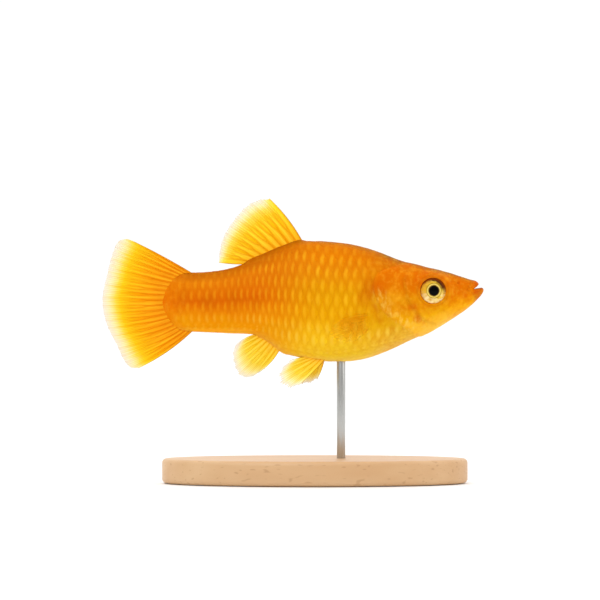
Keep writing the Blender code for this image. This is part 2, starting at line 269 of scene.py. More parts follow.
world = bpy.data.worlds.new("white_tent")
bpy.context.scene.world = world
world.use_nodes = True
add = partial(add_node, world.node_tree)
direction = add("TexCoord", out="Generated")
backwards = add("SeparateXYZ", direction, out="Y")
upwards = add("SeparateXYZ", direction, out="Z")
walls = add("MapRange", backwards, -0.5, 0.35, TENT_CAMERA_SIDE, TENT_WHITE, **SOFT)
roof = add("MapRange", upwards, 0.3, 1.0, 0.0, TENT_ROOF_EXTRA, **SOFT)
glow = world.node_tree.nodes["Background"]
glow.inputs["Color"].default_value = linear("#FFFFFF")
drive(glow, "Strength", add("Math", walls, roof, operation="ADD"))
bpy.context.scene.view_settings.view_transform = "Standard"


# %% Soft boxes
def soft_box(name, place, size, watts, aim=(0, 0, 0.034)):
    """A square area light at a place in metres, turned towards the fish."""
    bpy.ops.object.select_all(action="DESELECT")
    bpy.ops.object.light_add(type="AREA", location=place)
    light = bpy.context.object
    light.name = name
    light.data.size = size
    light.data.energy = watts
    away = np.array(place) - np.array(aim)
    flat = math.hypot(away[0], away[1])
    light.rotation_euler = (math.atan2(flat, away[2]), 0, math.atan2(away[0], -away[1]))


soft_box("box_over_camera", (-0.3, -0.75, 0.65), 0.5, 2.6)
soft_box("box_ahead", (0.75, -0.35, 0.35), 0.4, 0.9)

# %% [markdown]
# ## The body's own surface
#
# A body this smooth is fully told by a few lines: the back and the belly from the side, the half
# width from above, the height at which it is widest, and how full its section is above and below
# that height. They are the CAD model's lines, with the snout added that the jaws make there.
# A curve through a few stations that never overshoots them keeps the outline clean.

# %% Lines of the body
def smooth(stations):
    """A curve through (position, value) stations that never overshoots them."""
    x, v = np.array(stations, float).T
    step = np.diff(x)
    slope = np.diff(v) / step
    tangent = np.concatenate([[slope[0]], (slope[:-1] + slope[1:]) / 2, [slope[-1]]])
    tangent[1:-1][slope[:-1] * slope[1:] <= 0] = 0
    limit = 3 * np.minimum(np.abs(slope[:-1]), np.abs(slope[1:]))
    tangent[1:-1] = np.clip(tangent[1:-1], -limit, limit)

    def value(at):
        i = np.clip(np.searchsorted(x, at) - 1, 0, len(step) - 1)
        t = np.clip((at - x[i]) / step[i], 0, 1)
        rise = v[i] * (1 + 2 * t) * (1 - t) ** 2 + v[i + 1] * t * t * (3 - 2 * t)
        return rise + step[i] * (tangent[i] * t * (1 - t) ** 2 - tangent[i + 1] * t * t * (1 - t))

    return value


back_line = smooth([
    (0.9, 14.76), (1.4, 15.0), (2.0, 15.17), (2.85, 15.38), (3.5, 15.6), (4.4, 15.9), (6.6, 16.6),
    (11.0, 17.7), (15.4, 19.0), (19.8, 20.7), (24.2, 21.9), (28.6, 22.4), (33.0, 22.5), (36.5, 21.5),
    (41.5, 19.4), (46.2, 17.6), (50.6, 16.85), (54.5, 16.7),
])
belly_line = smooth([
    (0.0, 12.75), (0.7, 12.1), (2.2, 10.6), (3.3, 9.7), (6.6, 7.5), (9.9, 5.5), (13.2, 4.0),
    (17.6, 1.95), (22.0, 0.45), (26.4, 0.0), (30.1, 0.1), (33.7, 0.7), (36.6, 1.65), (38.8, 3.3),
    (41.2, 4.75), (47.3, 5.2), (54.5, 5.5),
])
half_width = smooth([
    (0.0, 1.5), (1.0, 1.85), (2.0, 2.1), (3.3, 2.42), (6.0, 3.35), (9.1, 4.1), (13.0, 4.75),
    (18.0, 5.4), (24.0, 5.75), (30.0, 5.5), (36.0, 4.5), (42.0, 3.3), (48.0, 2.4), (53.0, 1.6),
    (56.5, 0.95), (59.0, 0.45),
])
widest_level = smooth([
    (0.0, 13.5), (2.0, 13.5), (3.3, 13.3), (9.0, 12.5), (15.0, 11.6), (22.0, 10.6), (28.0, 10.2),
    (36.0, 11.2), (44.0, 11.5), (59.0, 11.1),
])
fullness_above = smooth([(3.3, 2.3), (9.0, 2.7), (16.0, 2.25), (26.0, 1.95), (45.0, 2.0), (59.0, 2.2)])
fullness_below = smooth([(3.3, 2.0), (12.0, 1.9), (24.0, 2.15), (34.0, 2.0), (59.0, 2.2)])
TAIL_ROUND_S = 54.5
TAIL_END_S = 59.0
TAIL_MIDDLE_Z = 11.1


def ease(value):
    """0 below 0, 1 above 1, and a smooth step between."""
    t = np.clip(value, 0, 1)
    return t * t * (3 - 2 * t)


def bell(value):
    """1 at 0, falling to almost nothing at 2."""
    return np.exp(-np.square(value))


def nose_round(distance, radius):
    """How much of its full size a rounded end has at a distance from its tip."""
    return np.sqrt(1 - (1 - np.clip(distance / radius, 0, 1)) ** 2)


def extent(s):
    """Highest and lowest z at s. Behind TAIL_ROUND_S the tail closes in half an ellipse."""
    closing = nose_round(TAIL_END_S - s, TAIL_END_S - TAIL_ROUND_S)
    closing = np.where(s > TAIL_ROUND_S, closing, 1.0)
    above, below = back_line(s) - TAIL_MIDDLE_Z, TAIL_MIDDLE_Z - belly_line(s)
    return TAIL_MIDDLE_Z + above * closing, TAIL_MIDDLE_Z - below * closing


def surface(s, turn):
    """(y, z) of the body at s. turn is the angle round it, 0 on the left and 90 degrees on the back."""
    level, half = widest_level(s), half_width(s)
    top, bottom = extent(s)
    across, up = np.cos(turn), np.sin(turn)
    full = np.where(up > 0, fullness_above(s), fullness_below(s))
    reach = np.where(up > 0, top - level, level - bottom)
    y = half * np.sign(across) * np.abs(across) ** (2 / full)
    return y, level + reach * np.sign(up) * np.abs(up) ** (2 / full)


def side_y(s, z):
    """Half of the body's width at s and height z."""
    level = widest_level(s)
    top, bottom = extent(s)
    reach = np.where(z > level, top - level, level - bottom)
    full = np.where(z > level, fullness_above(s), fullness_below(s))
    share = np.clip(np.abs(z - level) / reach, 0, 1)
    return half_width(s) * (1 - share**full) ** (1 / full)


def under_z(s, y):
    """Height of the belly's surface at s and distance y from the middle plane."""
    full = fullness_below(s)
    share = np.clip(np.abs(y) / half_width(s), 0, 1)
    level = widest_level(s)
    return level - (level - extent(s)[1]) * (1 - share**full) ** (1 / full)


print("deepest", round(float(back_line(30.0) - belly_line(30.0)), 1), "mm at s = 30")

# %% [markdown]
# ## The skin, in one piece
#
# One skin covers head, gill covers, jaws, trunk and the fleshy root of the tail, so no seam shows.
# It could be sculpted, or boxed up from a cube and subdivided. Here a flat grid is rolled up into
# the body like a sheet of clay: one side of the grid runs from the throat, out over the lips and
# back to the tail, the other runs once round the body from the belly line. That keeps the faces
# in the flow of the scales and gives the mesh a tidy unwrap for free.
#
# The first rings lie inside the mouth, turn over the lips and widen into the snout, so the mouth
# is a real opening with thick lips, a little open and turned up as in surface-feeding livebearers.

# %% Lips and throat
AROUND = 192
MOUTH_CORNER = (2.03, 13.5)
UPPER_LIP_S = 0.98
LOWER_LIP_S = 0.07
LIP_ROLL = 0.42
THROAT = (4.4, 13.75)
THROAT_RINGS = 7
LIP_RINGS = 6

turns = np.radians(np.linspace(-90, 270, AROUND + 1))[None, :]
upper = np.sin(turns) > 0
steep = np.abs(np.sin(turns))

lip_reach = np.where(upper, MOUTH_CORNER[0] - UPPER_LIP_S, MOUTH_CORNER[0] - LOWER_LIP_S)
lip_s = MOUTH_CORNER[0] - lip_reach * steep ** np.where(upper, 0.6, 0.55)
crest_y = np.where(upper, 1.76, 1.7) * np.sign(np.cos(turns)) * np.abs(np.cos(turns)) ** 0.8
crest_z = MOUTH_CORNER[1] + np.where(upper, 1.0 * steep**0.75, -0.25 * steep**0.9)
inner_y = crest_y * 0.84
inner_z = MOUTH_CORNER[1] + np.where(upper, 0.56 * steep**0.9, 0.27 * steep**0.7)
crest = [lip_s, crest_y, crest_z]
inner = [lip_s + LIP_ROLL, inner_y, inner_z]

deep = np.linspace(1, 0.12, THROAT_RINGS)[:, None]
hollow = np.sin(math.pi * deep**0.7) * steep**0.5 * np.where(upper, 0.15, -0.4)
throat = [
    inner[0] + (THROAT[0] - inner[0]) * deep,
    inner_y * (1 - 0.55 * deep),
    inner_z + (THROAT[1] - inner_z) * 0.85 * deep**1.5 + hollow,
]
roll = (np.linspace(1, 0.14, LIP_RINGS) * math.pi / 2)[:, None]
share = [1 - np.cos(roll), np.sin(roll), np.sin(roll)]
lip_inside = [a + (b - a) * part for a, b, part in zip(crest, inner, share)]
print("the mouth opens", round(float(inner_z.max() - inner_z[0, 0]), 2), "mm")

# %% Roll up the skin
SNOUT_END_S = 4.6
SNOUT_RINGS = 38
SNOUT_CROWDING = 1.6
HEAD_STEP = 0.15
FINE_UNTIL_S = 21.5
BODY_STEP = 0.38
TAIL_RINGS = 22
TAIL_HOLE = 0.05

growth = np.linspace(0, 1, SNOUT_RINGS)[:, None] ** SNOUT_CROWDING
snout_s = lip_s + (SNOUT_END_S - lip_s) * growth
outside_y, outside_z = surface(snout_s, turns)
rounded = nose_round(snout_s - lip_s, 0.3 + 0.4 * steep)
snout = [
    snout_s,
    crest_y + (outside_y - crest_y) * rounded,
    crest_z + (outside_z - crest_z) * rounded,
]
closing = np.sin(np.linspace(0, math.pi / 2, TAIL_RINGS))[1:]
body_s = np.concatenate([
    np.arange(SNOUT_END_S + HEAD_STEP, FINE_UNTIL_S, HEAD_STEP),
    np.arange(FINE_UNTIL_S, TAIL_ROUND_S, BODY_STEP),
    TAIL_ROUND_S + (TAIL_END_S - TAIL_HOLE - TAIL_ROUND_S) * closing,
])[:, None]
body = [body_s + 0 * turns, *surface(body_s, turns)]
grid_s, grid_y, grid_z = [np.concatenate(parts) for parts in zip(throat, lip_inside, snout, body)]
first_outside = len(throat[0]) + len(lip_inside[0])
print("rings", len(grid_s), "of", AROUND, "points")

# %% [markdown]
# ## Modelling the relief of the skin
#
# On this rolled-up sheet, relief is pushed in and out along the surface, as a sculptor would with
# a soft brush, but by measured amounts:
#
# - Under the scales the skin lies 0.2 mm deeper, so that the coat brings it back to full size.
# - The gill cover is a plate that swells towards its free rear edge and drops off there.
# - A groove marks the rear edge of the cheek, and a finer one sets off the lips.
# - The orbit dips to the eyeball's rim, then drops behind it.
# - Nostrils, the fleshy roots of the breast fins, the low sheaths of the dorsal and anal fins, and
#   the vent are small local dents and swellings.
#
# The same masks are noted on the points, and the skin's colour is painted darker along them as painted shade
# in its creases.

# %% Where the head's edges run
EYE_AT = (9.5, 13.2)
EYE_RADIUS = 2.5
EYE_SEEN_RADIUS = 2.33
EYE_DEPTH_RADIUS = 1.6
EYE_STANDS_OUT = 0.75
EYE_TURN = math.radians(7.0)
EYE_MIDDLE_Y = float(side_y(*EYE_AT)) + EYE_STANDS_OUT - EYE_DEPTH_RADIUS

# Each runs from the angle below or above the widest line, in degrees, to a place along the fish.
gill_edge = smooth([
    (-90, 11.2), (-54, 13.0), (-25, 16.0), (-9, 18.4), (5, 19.6), (18, 20.2), (29, 19.7), (38, 18.4),
])
cheek_edge = smooth([(-62, 8.4), (-52, 9.5), (-30, 11.9), (-15, 13.2), (0, 14.2), (22, 14.7), (36, 14.3)])
coat_edge = smooth([
    (-90, 11.5), (-54, 13.3), (-25, 16.3), (-9, 18.7), (5, 19.9), (18, 20.5), (29, 20.1), (38, 18.6),
    (52, 16.0), (90, 13.6),
])


def degrees_up(turn):
    """Angle above the widest line, from -90 at the belly to 90 at the back, on either side."""
    return np.degrees(np.arcsin(np.clip(np.sin(turn), -1, 1)))


# %% How far the skin is pushed in or out
# How deep the bed of the scales is, and how far the whole skin stays inside the CAD solids.
COAT_DEPTH = 0.2
INSIDE_CAD = 0.03
# Middles of the swellings, and where the two sheaths begin and end along the fish.
FIN_FOOT_AT = (20.7, 7.7)
DORSAL_SHEATH = (32.4, 44.4)
ANAL_SHEATH = (36.9, 42.2)
VENT_S = 36.9
# Place along, height and size of the two nostrils of a side.
NOSTRILS = ((4.8, 14.6, 0.2), (6.2, 14.95, 0.24))


def swellings(s, y, z):
    """Local swellings of the body in millimetres, which the scales follow too."""
    side = np.abs(y)
    fin_foot = 0.28 * bell((s - FIN_FOOT_AT[0]) / 0.9) * bell((z - FIN_FOOT_AT[1]) / 1.5) * (side > 2)
    start, end = DORSAL_SHEATH
    ridge = 0.4 * bell(side / 0.6) * ease((s - start) / 1.5) * ease((end - s) / 1.5) * (z > 15)
    start, end = ANAL_SHEATH
    keel = 0.35 * bell(side / 0.6) * ease((s - start) / 1.2) * ease((end - s) / 1.2) * (z < 8)
    vent = 0.3 * bell((s - VENT_S) / 0.9) * bell(side / 0.8) * (z < 5)
    return fin_foot + ridge + keel + vent


def gill_plate(s, deg):
    """Height of the gill cover's plate, which swells to its free edge and ends there."""
    behind = s - gill_edge(deg)
    swelling = 0.1 * ease(1 + behind / 5) * ease(1 - behind / 0.4)
    return swelling * ease((32 - deg) / 26) * ease((deg + 84) / 26)


def head_relief(s, y, z, deg, from_lip):
    """(push outwards in millimetres, how much painted crease shade it gets) of plates, grooves and pits."""
    behind = s - gill_edge(deg)
    slot = bell((behind - 0.3) / 0.3) * ease((38 - deg) / 10) * (0.15 + 0.85 * ease((deg + 38) / 30))
    slot = slot * ease((deg + 84) / 26)
    cheek = bell((s - cheek_edge(deg)) / 0.42) * ease((deg + 66) / 16) * ease((38 - deg) / 12)
    lip = bell((from_lip - 1.2) / 0.28) * ease((84 - np.abs(deg)) / 40)
    side = np.abs(y) > 1
    nostrils = sum(bell(np.hypot(s - at, z - up) / size) for at, up, size in NOSTRILS)
    cloud = np.sin(s * 1.9 + z * 1.3) * np.sin(z * 2.3 - s * 0.7) * ease((17 - s) / 4) * ease(from_lip / 3)
    push = gill_plate(s, deg) - 0.05 * slot - 0.08 * cheek - 0.09 * lip - 0.25 * nostrils * side
    # Grooves, pits and the gill cover's upper edge are marked for painted shade in the skin's colour.
    cover_edge = bell((behind + 0.5) / 1.1) * ease((deg + 22) / 20) * ease((26 - deg) / 20)
    crease_shade = 0.25 * slot + 0.5 * cheek + 0.5 * lip + 0.35 * nostrils * side + 0.3 * cover_edge
    return push + 0.012 * cloud, np.clip(crease_shade, 0, 1)


# %% Push the relief in and out
def outward(s, y, z):
    """Unit vectors out of the rolled-up surface."""
    p = np.stack([s, y, z], axis=-1)
    backwards = np.gradient(p, axis=0)
    around = np.roll(p[:, :-1], -1, axis=1) - np.roll(p[:, :-1], 1, axis=1)
    around = np.concatenate([around, around[:, :1]], axis=1)
    normal = np.cross(around, backwards)
    return normal / np.maximum(np.linalg.norm(normal, axis=-1, keepdims=True), 1e-9)


up_deg = degrees_up(turns) + 0 * grid_s
push, crease_shade = head_relief(grid_s, grid_y, grid_z, up_deg, grid_s - lip_s)
push = push + swellings(grid_s, grid_y, grid_z) - INSIDE_CAD
border = 0.8 + 1.6 * ease((up_deg - 36) / 16)
push = push - COAT_DEPTH * ease((grid_s - coat_edge(up_deg)) / border + 0.5)
push[:first_outside] = 0
crease_shade[:first_outside] = 0
pushed = np.stack([grid_s, grid_y, grid_z], axis=-1) + outward(grid_s, grid_y, grid_z) * push[..., None]

# %% Seat the orbit round the eye
# Heights are above the eyeball's middle, and distances are from the eye's axis.
IRIS_TOP = 1.25
IRIS_RIM = 0.85
ORBIT_EDGE = 2.38
ORBIT_REACH = 4.1
ORBIT_DROP = 1.9
LID_STANDS_OUT = 0.05
LID_OVERHANG = 0.19
RIM_SWELL = 2.6
RIM_FOLD = 2.95
DRAWN_ONTO = 0.07
DRAWN_FROM = 0.12

# Points close to the orbit's edge are drawn onto it, so that the edge is round.
away = np.hypot(grid_s - EYE_AT[0], grid_z - EYE_AT[1])
measured = [-DRAWN_FROM, -DRAWN_ONTO, DRAWN_ONTO, DRAWN_FROM]
off_edge = np.interp(away - ORBIT_EDGE, measured, [-DRAWN_FROM, 0, 0, DRAWN_FROM])
eye_away = np.where(np.abs(away - ORBIT_EDGE) < DRAWN_FROM, ORBIT_EDGE + off_edge, away)
drawn = eye_away / np.maximum(away, 1e-6)
front_upper = ((EYE_AT[0] - grid_s) * 0.62 + (grid_z - EYE_AT[1]) * 0.78) / 2.5
lid_y = EYE_MIDDLE_Y + IRIS_RIM + LID_STANDS_OUT + LID_OVERHANG * ease(0.5 + front_upper / 2)
lid_y = lid_y - math.tan(EYE_TURN) * (EYE_AT[0] - grid_s)
free_y = np.abs(pushed[..., 1])
orbit_y = lid_y + (free_y - lid_y) * ease((eye_away - ORBIT_EDGE) / (ORBIT_REACH - ORBIT_EDGE))
orbit_y = orbit_y + 0.05 * bell((eye_away - RIM_SWELL) / 0.16) - 0.05 * bell((eye_away - RIM_FOLD) / 0.2)
orbit_y = orbit_y - ORBIT_DROP * ease((ORBIT_EDGE - eye_away) / 0.26)
near_eye = (eye_away < ORBIT_REACH) & (np.arange(len(grid_s))[:, None] >= first_outside)
pushed[..., 1] = np.where(near_eye, np.sign(grid_y) * orbit_y, pushed[..., 1])
pushed[..., 0] = np.where(near_eye, EYE_AT[0] + (grid_s - EYE_AT[0]) * drawn, pushed[..., 0])
pushed[..., 2] = np.where(near_eye, EYE_AT[1] + (grid_z - EYE_AT[1]) * drawn, pushed[..., 2])
# The orbit's rim and its fold get painted shade, strongest at the upper front where the lid overhangs.
orbit_rim_shade = (0.1 + 0.4 * ease(0.5 + front_upper)) * bell((eye_away - 2.5) / 0.3)
orbit_rim_shade = orbit_rim_shade + 0.5 * bell((eye_away - 2.85) / 0.16)
crease_shade = np.clip(crease_shade + orbit_rim_shade, 0, 1)

# %% Put the sheet in place and close it
def pigment_height(s, z):
    """0 at the belly's edge and 1 at the back's, for the markings."""
    top, bottom = back_line(s), belly_line(s)
    return np.clip((z - bottom) / (top - bottom), 0, 1)


# Redder and paler blotches of this fish: place along, height, size and strength.
# The red one at 24.0 along and 6.6 up is painted shade under the breast fin.
RED_BLOTCHES_AND_FIN_SHADE = [
    (18.3, 14.9, 1.6, 0.45), (20.5, 13.9, 1.8, 1.0), (12.9, 14.4, 1.5, 0.7), (13.0, 10.4, 0.8, 0.8),
    (22.0, 17.0, 2.0, 0.1), (22.4, 12.2, 1.6, 0.7), (18.4, 12.9, 0.7, 0.6), (19.4, 7.8, 1.1, 0.5),
    (24.0, 6.6, 2.6, 0.35), (37.5, 16.2, 4.5, 0.3), (44.5, 15.3, 3.0, 0.25), (1.7, 14.3, 0.6, 1.5),
    (1.7, 12.9, 0.5, 1.0), (3.5, 12.6, 0.7, 0.6), (12.3, 8.2, 0.8, 1.0), (10.8, 16.2, 1.4, 0.5),
    (35.5, 5.5, 2.5, 0.2), (16.0, 17.6, 2.2, 0.25), (24.0, 19.3, 2.4, 0.2),
    (19.9, 10.2, 0.6, 0.5), (4.6, 13.4, 1.6, 0.5), (6.3, 11.0, 1.2, 0.3), (15.2, 10.0, 0.9, 0.4),
    (46.0, 11.5, 2.0, 0.7), (50.5, 11.4, 1.8, 0.7), (42.0, 11.2, 1.6, 0.5), (55.0, 12.0, 1.6, 0.5),
]
PALE_BLOTCHES = [
    (15.7, 12.2, 1.0, 0.5), (20.4, 16.7, 1.3, 0.5), (17.4, 12.9, 0.5, 0.6), (19.4, 11.4, 0.45, 1.2),
    (18.1, 10.3, 0.7, 0.9), (16.6, 8.4, 1.0, 0.7),
    (10.6, 8.6, 1.3, 0.3), (8.0, 8.8, 1.4, 0.6), (14.4, 6.0, 1.4, 0.8), (20.0, 6.0, 1.8, 0.5),
    (24.5, 13.2, 2.2, 0.3), (29.5, 4.8, 3.0, 0.5), (34.5, 3.6, 2.0, 0.3),
]


def blotches(s, z):
    """Above 0 where the skin is redder, below 0 where it is paler."""
    red, pale = [
        sum(most * bell(np.hypot(s - at, z - up) / size) for at, up, size, most in spots)
        for spots in (RED_BLOTCHES_AND_FIN_SHADE, PALE_BLOTCHES)
    ]
    return np.clip(red, 0, 1.2) - np.clip(pale, 0, 1.4)


def gleam(s, deg):
    """Where a painted sheen of the gill cover's silvery lining lies: its rear edge and lower part."""
    behind = s - gill_edge(deg)
    edge = bell((behind + 0.7) / 1.1) * ease((20 - deg) / 14) * ease((deg + 62) / 20)
    low = 0.7 * bell((behind + 2.0) / 1.8) * bell((deg + 46) / 22)
    return np.clip(edge + low, 0, 1)


def note_markings(piece, s, z, deg):
    """Notes on each point what the fish's markings depend on."""
    note(piece, "height", pigment_height(s, z))
    note(piece, "along", s / TAIL_END_S)
    note(piece, "gleam", gleam(s, deg))
    note(piece, "blotch", blotches(s, z))


grid = bpy.ops.mesh.primitive_grid_add
skin = new_piece("skin", grid, x_subdivisions=len(grid_s) - 1, y_subdivisions=AROUND, size=1)
flat = points_of(skin)
ring_of = np.round((flat[:, 0] + 0.5) * (len(grid_s) - 1)).astype(int)
column_of = np.round((flat[:, 1] + 0.5) * AROUND).astype(int)
placed = pushed[ring_of, column_of]
move_points(skin, in_frame(placed[:, 0], placed[:, 1], placed[:, 2]))
note_markings(skin, *[values[ring_of, column_of] for values in (grid_s, grid_z, up_deg)])
note(skin, "crease_shade", crease_shade[ring_of, column_of])
note(skin, "mouth", ease((first_outside - 1.0 - ring_of) / 4))
skin.data.uv_layers[0].name = "OFBake"
close_up(skin)
fill_holes(skin)
close_up(skin)

# %% [markdown]
# ## The colours of the fish
#
# Saffron mollies carry a yellow to orange pigment with almost no black. The back is burnt orange,
# the flank saffron, the belly egg-yolk yellow, and a redder line runs along the middle of the tail
# half. The head is redder on top and golden on the cheek. Skin and scales must match, so one
# function writes these markings for both, from the height and the place along the body that are
# noted on their points. Soft noise breaks up the bands, as pigment cells are never laid evenly.

# %% Markings shared by skin and scales
# Across each part of the body, from the belly's edge to the back's.
SNOUT_BAND = [
    (0.0, "#EEB04A"), (0.14, "#EFA814"), (0.33, "#EB9C06"), (0.45, "#E48602"), (0.62, "#DE7802"),
    (0.85, "#D46E02"), (0.94, "#C86A04"), (1.0, "#90580E"),
]
HEAD_BAND = [
    (0.0, "#F6CA60"), (0.1, "#F6C03A"), (0.28, "#E6A406"), (0.42, "#DC8C04"), (0.56, "#DA8A04"),
    (0.66, "#DA7A02"), (0.84, "#DC7402"), (0.94, "#CE6C04"), (1.0, "#905C0E"),
]
TRUNK_BAND = [
    (0.0, "#FFD85A"), (0.05, "#FFD62E"), (0.2, "#FFC81A"), (0.36, "#EFA402"), (0.58, "#E69802"),
    (0.76, "#E88402"), (0.88, "#E87C00"), (0.96, "#DC7200"), (1.0, "#B46606"),
]
REAR_BAND = [
    (0.0, "#F6AC30"), (0.1, "#F89A02"), (0.34, "#EE8202"), (0.5, "#E26200"), (0.62, "#E66E02"),
    (0.82, "#E67802"), (0.94, "#CA6602"), (1.0, "#BC6204"),
]


def lay_over(add, colour, tint, *shares):
    """Lays a tint over a colour, as strongly as all the shares multiplied."""
    share = shares[0]
    for other in shares[1:]:
        share = add("Math", share, other, operation="MULTIPLY")
    return add("Mix", share, colour, tint, data_type="RGBA")


def markings(add):
    """The fish's own markings, the same for skin and scales, with painted shade under the breast fin."""
    notes = ("along", "height", "blotch")
    place, level, blotch = [add("Attribute", attribute_name=name, out="Fac") for name in notes]
    level = add("Math", cloud_of(add, 4.5), 0.025, level, operation="MULTIPLY_ADD", use_clamp=True)
    colour = add("ValToRGB", level, stops=SNOUT_BAND)
    for band, start, end in ((HEAD_BAND, 0.08, 0.13), (TRUNK_BAND, 0.28, 0.42), (REAR_BAND, 0.48, 0.72)):
        share = add("MapRange", place, start, end, **SOFT)
        colour = lay_over(add, colour, add("ValToRGB", level, stops=band), share)
    colour = lay_over(add, colour, "#EC7A02", add("MapRange", place, 0.9, 0.97, 0.0, 0.5, **SOFT))
    # The red blotches include a painted shade on the flank under the breast fin.
    strong = add("Math", blotch, 0.65, operation="MULTIPLY", use_clamp=True)
    colour = lay_over(add, colour, "#CC6000", strong)
    on_head = add("MapRange", place, 0.42, 0.24, 0.25, 1.0, **SOFT)
    on_lobe = add("MapRange", place, 0.88, 0.96, 0.0, 0.55, **SOFT)
    mottled = add("Math", on_head, on_lobe, operation="MAXIMUM")
    ragged = add("Math", cloud_of(add, 1.2, 3, (1, 1, 0.7)), 0.85, blotch, operation="MULTIPLY_ADD")
    low_cloud = add("MapRange", cloud_of(add, 3.0, 2), 0.0, 1.2, 0.0, 0.45)
    colour = lay_over(add, colour, "#F0A004", low_cloud, add("MapRange", level, 0.42, 0.22))
    speckle = cloud_of(add, 0.7, 2)
    for amount, full, most, tint in (
        (ragged, 2.0, 1.0, "#D66000"), (ragged, -2.2, 1.0, "#F6B026"),
        (speckle, 1.3, 0.22, "#FFC438"), (speckle, -1.3, 0.3, "#D26000"),
    ):
        colour = lay_over(add, colour, tint, add("MapRange", amount, 0.0, full, 0.0, most), mottled)
    return colour


def gill_gleam(add, colour):
    """A painted sheen in streaks, where the gill cover's silvery lining would shine through."""
    streaks = cloud_of(add, 0.9, 3, (1.4, 1, 0.7))
    streaks = add("Math", streaks, 1.0, 0.25, operation="MULTIPLY_ADD", use_clamp=True)
    painted_sheen = add("Attribute", attribute_name="gleam", out="Fac")
    return lay_over(add, colour, "#F0C24E", painted_sheen, 0.8, streaks)


# %% Fish skin: pigmented, wet and a little translucent
# Living skin over muscle: light enters it a little, and a film of mucus gives it a faint gloss.
FLESH = {
    "Specular_IOR_Level": 0.02, "Subsurface_Weight": 0.15, "Subsurface_Scale": 0.0008,
    "Subsurface_Radius": (1.0, 0.4, 0.1),
}
skin_look, add, shader = start_material("wet_pigmented_skin", Roughness=0.45, IOR=1.38, **FLESH)
notes = ("crease_shade", "along", "mouth")
crease_shade, place, mouth = [add("Attribute", attribute_name=name, out="Fac") for name in notes]
# Creases, grooves, pits and the orbit's rim are painted darker brown: painted shade.
colour = lay_over(add, gill_gleam(add, markings(add)), "#A84E04", crease_shade, 0.5)
colour = lay_over(add, colour, "#BC5410", add("MapRange", place, 0.04, 0.018, 0.0, 0.7, **SOFT))
# Inside the mouth the skin is painted dark brown: painted shade in the opening.
drive(shader, "Base Color", lay_over(add, colour, "#8A3E14", mouth))
drive(shader, "Normal", add("Bump", 0.3, 0.00005, None, cloud_of(add, 0.5, 3)))
hand_over(skin, skin_look, "skin", "head", "upper_jaw", "lower_jaw", "trunk", "tail",
          "gill_cover_left", "gill_cover_right")

# %% [markdown]
# ## One scale, then 529
#
# A molly's scales are thin round plates that overlap like roof tiles, pointing to the tail. About
# 28 stand in a row from gill to tail, and neighbouring rows are set half a scale apart. One scale is
# modelled flat, given its thickness, and copied onto the body: its length follows the body
# backwards, its width goes round it, and it tilts so that its free rear edge stands about a tenth
# of a millimetre proud. In the photograph they stand 1.7 mm apart on the flank, 1.1 mm over the anal
# fin and 1.4 mm at the tail, in rows 2.6 to 2 mm apart.

# %% Model one scale
# Places of the cross lines from front to rear, and faces across.
SCALE_LINES = np.array([0.0, 0.45, 0.7, 0.87, 1.0])
SCALE_WIDE = 6
SCALE_THICK = 0.03
HALF_WIDTH = 0.97
SIDE_CROWDING = 0.86

pattern = new_piece(
    "one_scale", grid, x_subdivisions=len(SCALE_LINES) - 1, y_subdivisions=SCALE_WIDE, size=2
)
flat = points_of(pattern)
line = np.round((flat[:, 0] + 1) / 2 * (len(SCALE_LINES) - 1)).astype(int)
side_share = np.sin(flat[:, 1] * math.pi / 2 * SIDE_CROWDING) / math.sin(math.pi / 2 * SIDE_CROWDING)
side_share = side_share * HALF_WIDTH
bow = np.sqrt(1 - side_share**2)
rear_edge = -0.3 + 0.8 * bow
front_edge = -0.45 - 0.55 * bow
length_share = SCALE_LINES[line]
shaped = np.stack([front_edge + (rear_edge - front_edge) * length_share, side_share, 0 * bow], axis=-1)
move_points(pattern, shaped)
plate = pattern.modifiers.new("plate", "SOLIDIFY")
plate.thickness = SCALE_THICK
plate.offset = -1
apply_all(pattern)
scale_points = points_of(pattern)
scale_faces = [list(face.vertices) for face in pattern.data.polygons]
bpy.data.objects.remove(pattern)
print("one scale has", len(scale_points), "points and", len(scale_faces), "faces")

# %% A way to lay things along the body and round it
FINE_FROM_S = 9.0
FINE_TO_S = TAIL_END_S - 0.06
FINE_PLACES = 500

fine_s = np.linspace(FINE_FROM_S, FINE_TO_S, FINE_PLACES)
fine_turn = np.radians(np.linspace(-90, 90, 181))
sheet_y, sheet_z = surface(fine_s[:, None], fine_turn[None, :])
steps = np.hypot(np.diff(sheet_y, axis=1), np.diff(sheet_z, axis=1))
arc = np.concatenate([np.zeros((len(fine_s), 1)), np.cumsum(steps, axis=1)], axis=1)
arc = arc - arc[:, [len(fine_turn) // 2]]


def turn_at(s, way_up):
    """The angle round the body, way_up millimetres over its surface from the widest line."""
    place = np.interp(s, fine_s, np.arange(len(fine_s)))
    low = np.clip(place.astype(int), 0, len(fine_s) - 2)
    part = place - low
    found = np.empty(len(s))
    for i, (row, share, up) in enumerate(zip(low, part, way_up)):
        line = arc[row] * (1 - share) + arc[row + 1] * share
        if up > line[-1]:
            found[i] = math.pi - np.interp(2 * line[-1] - up, line, fine_turn)
        elif up < line[0]:
            found[i] = -math.pi - np.interp(2 * line[0] - up, line, fine_turn)
        else:
            found[i] = np.interp(up, line, fine_turn)
    return found


def on_body(s, turn):
    """Points on the body and the unit vectors out of it."""
    y, z = surface(s, turn)
    y_before, z_before = surface(s - 0.05, turn)
    y_above, z_above = surface(s, turn + 0.02)
    backwards = np.stack([0 * s + 0.05, y - y_before, z - z_before], axis=-1)
    around = np.stack([0 * s, y_above - y, z_above - z], axis=-1)
    out = np.cross(around, backwards)
    return np.stack([s, y, z], axis=-1), out / np.linalg.norm(out, axis=1, keepdims=True)


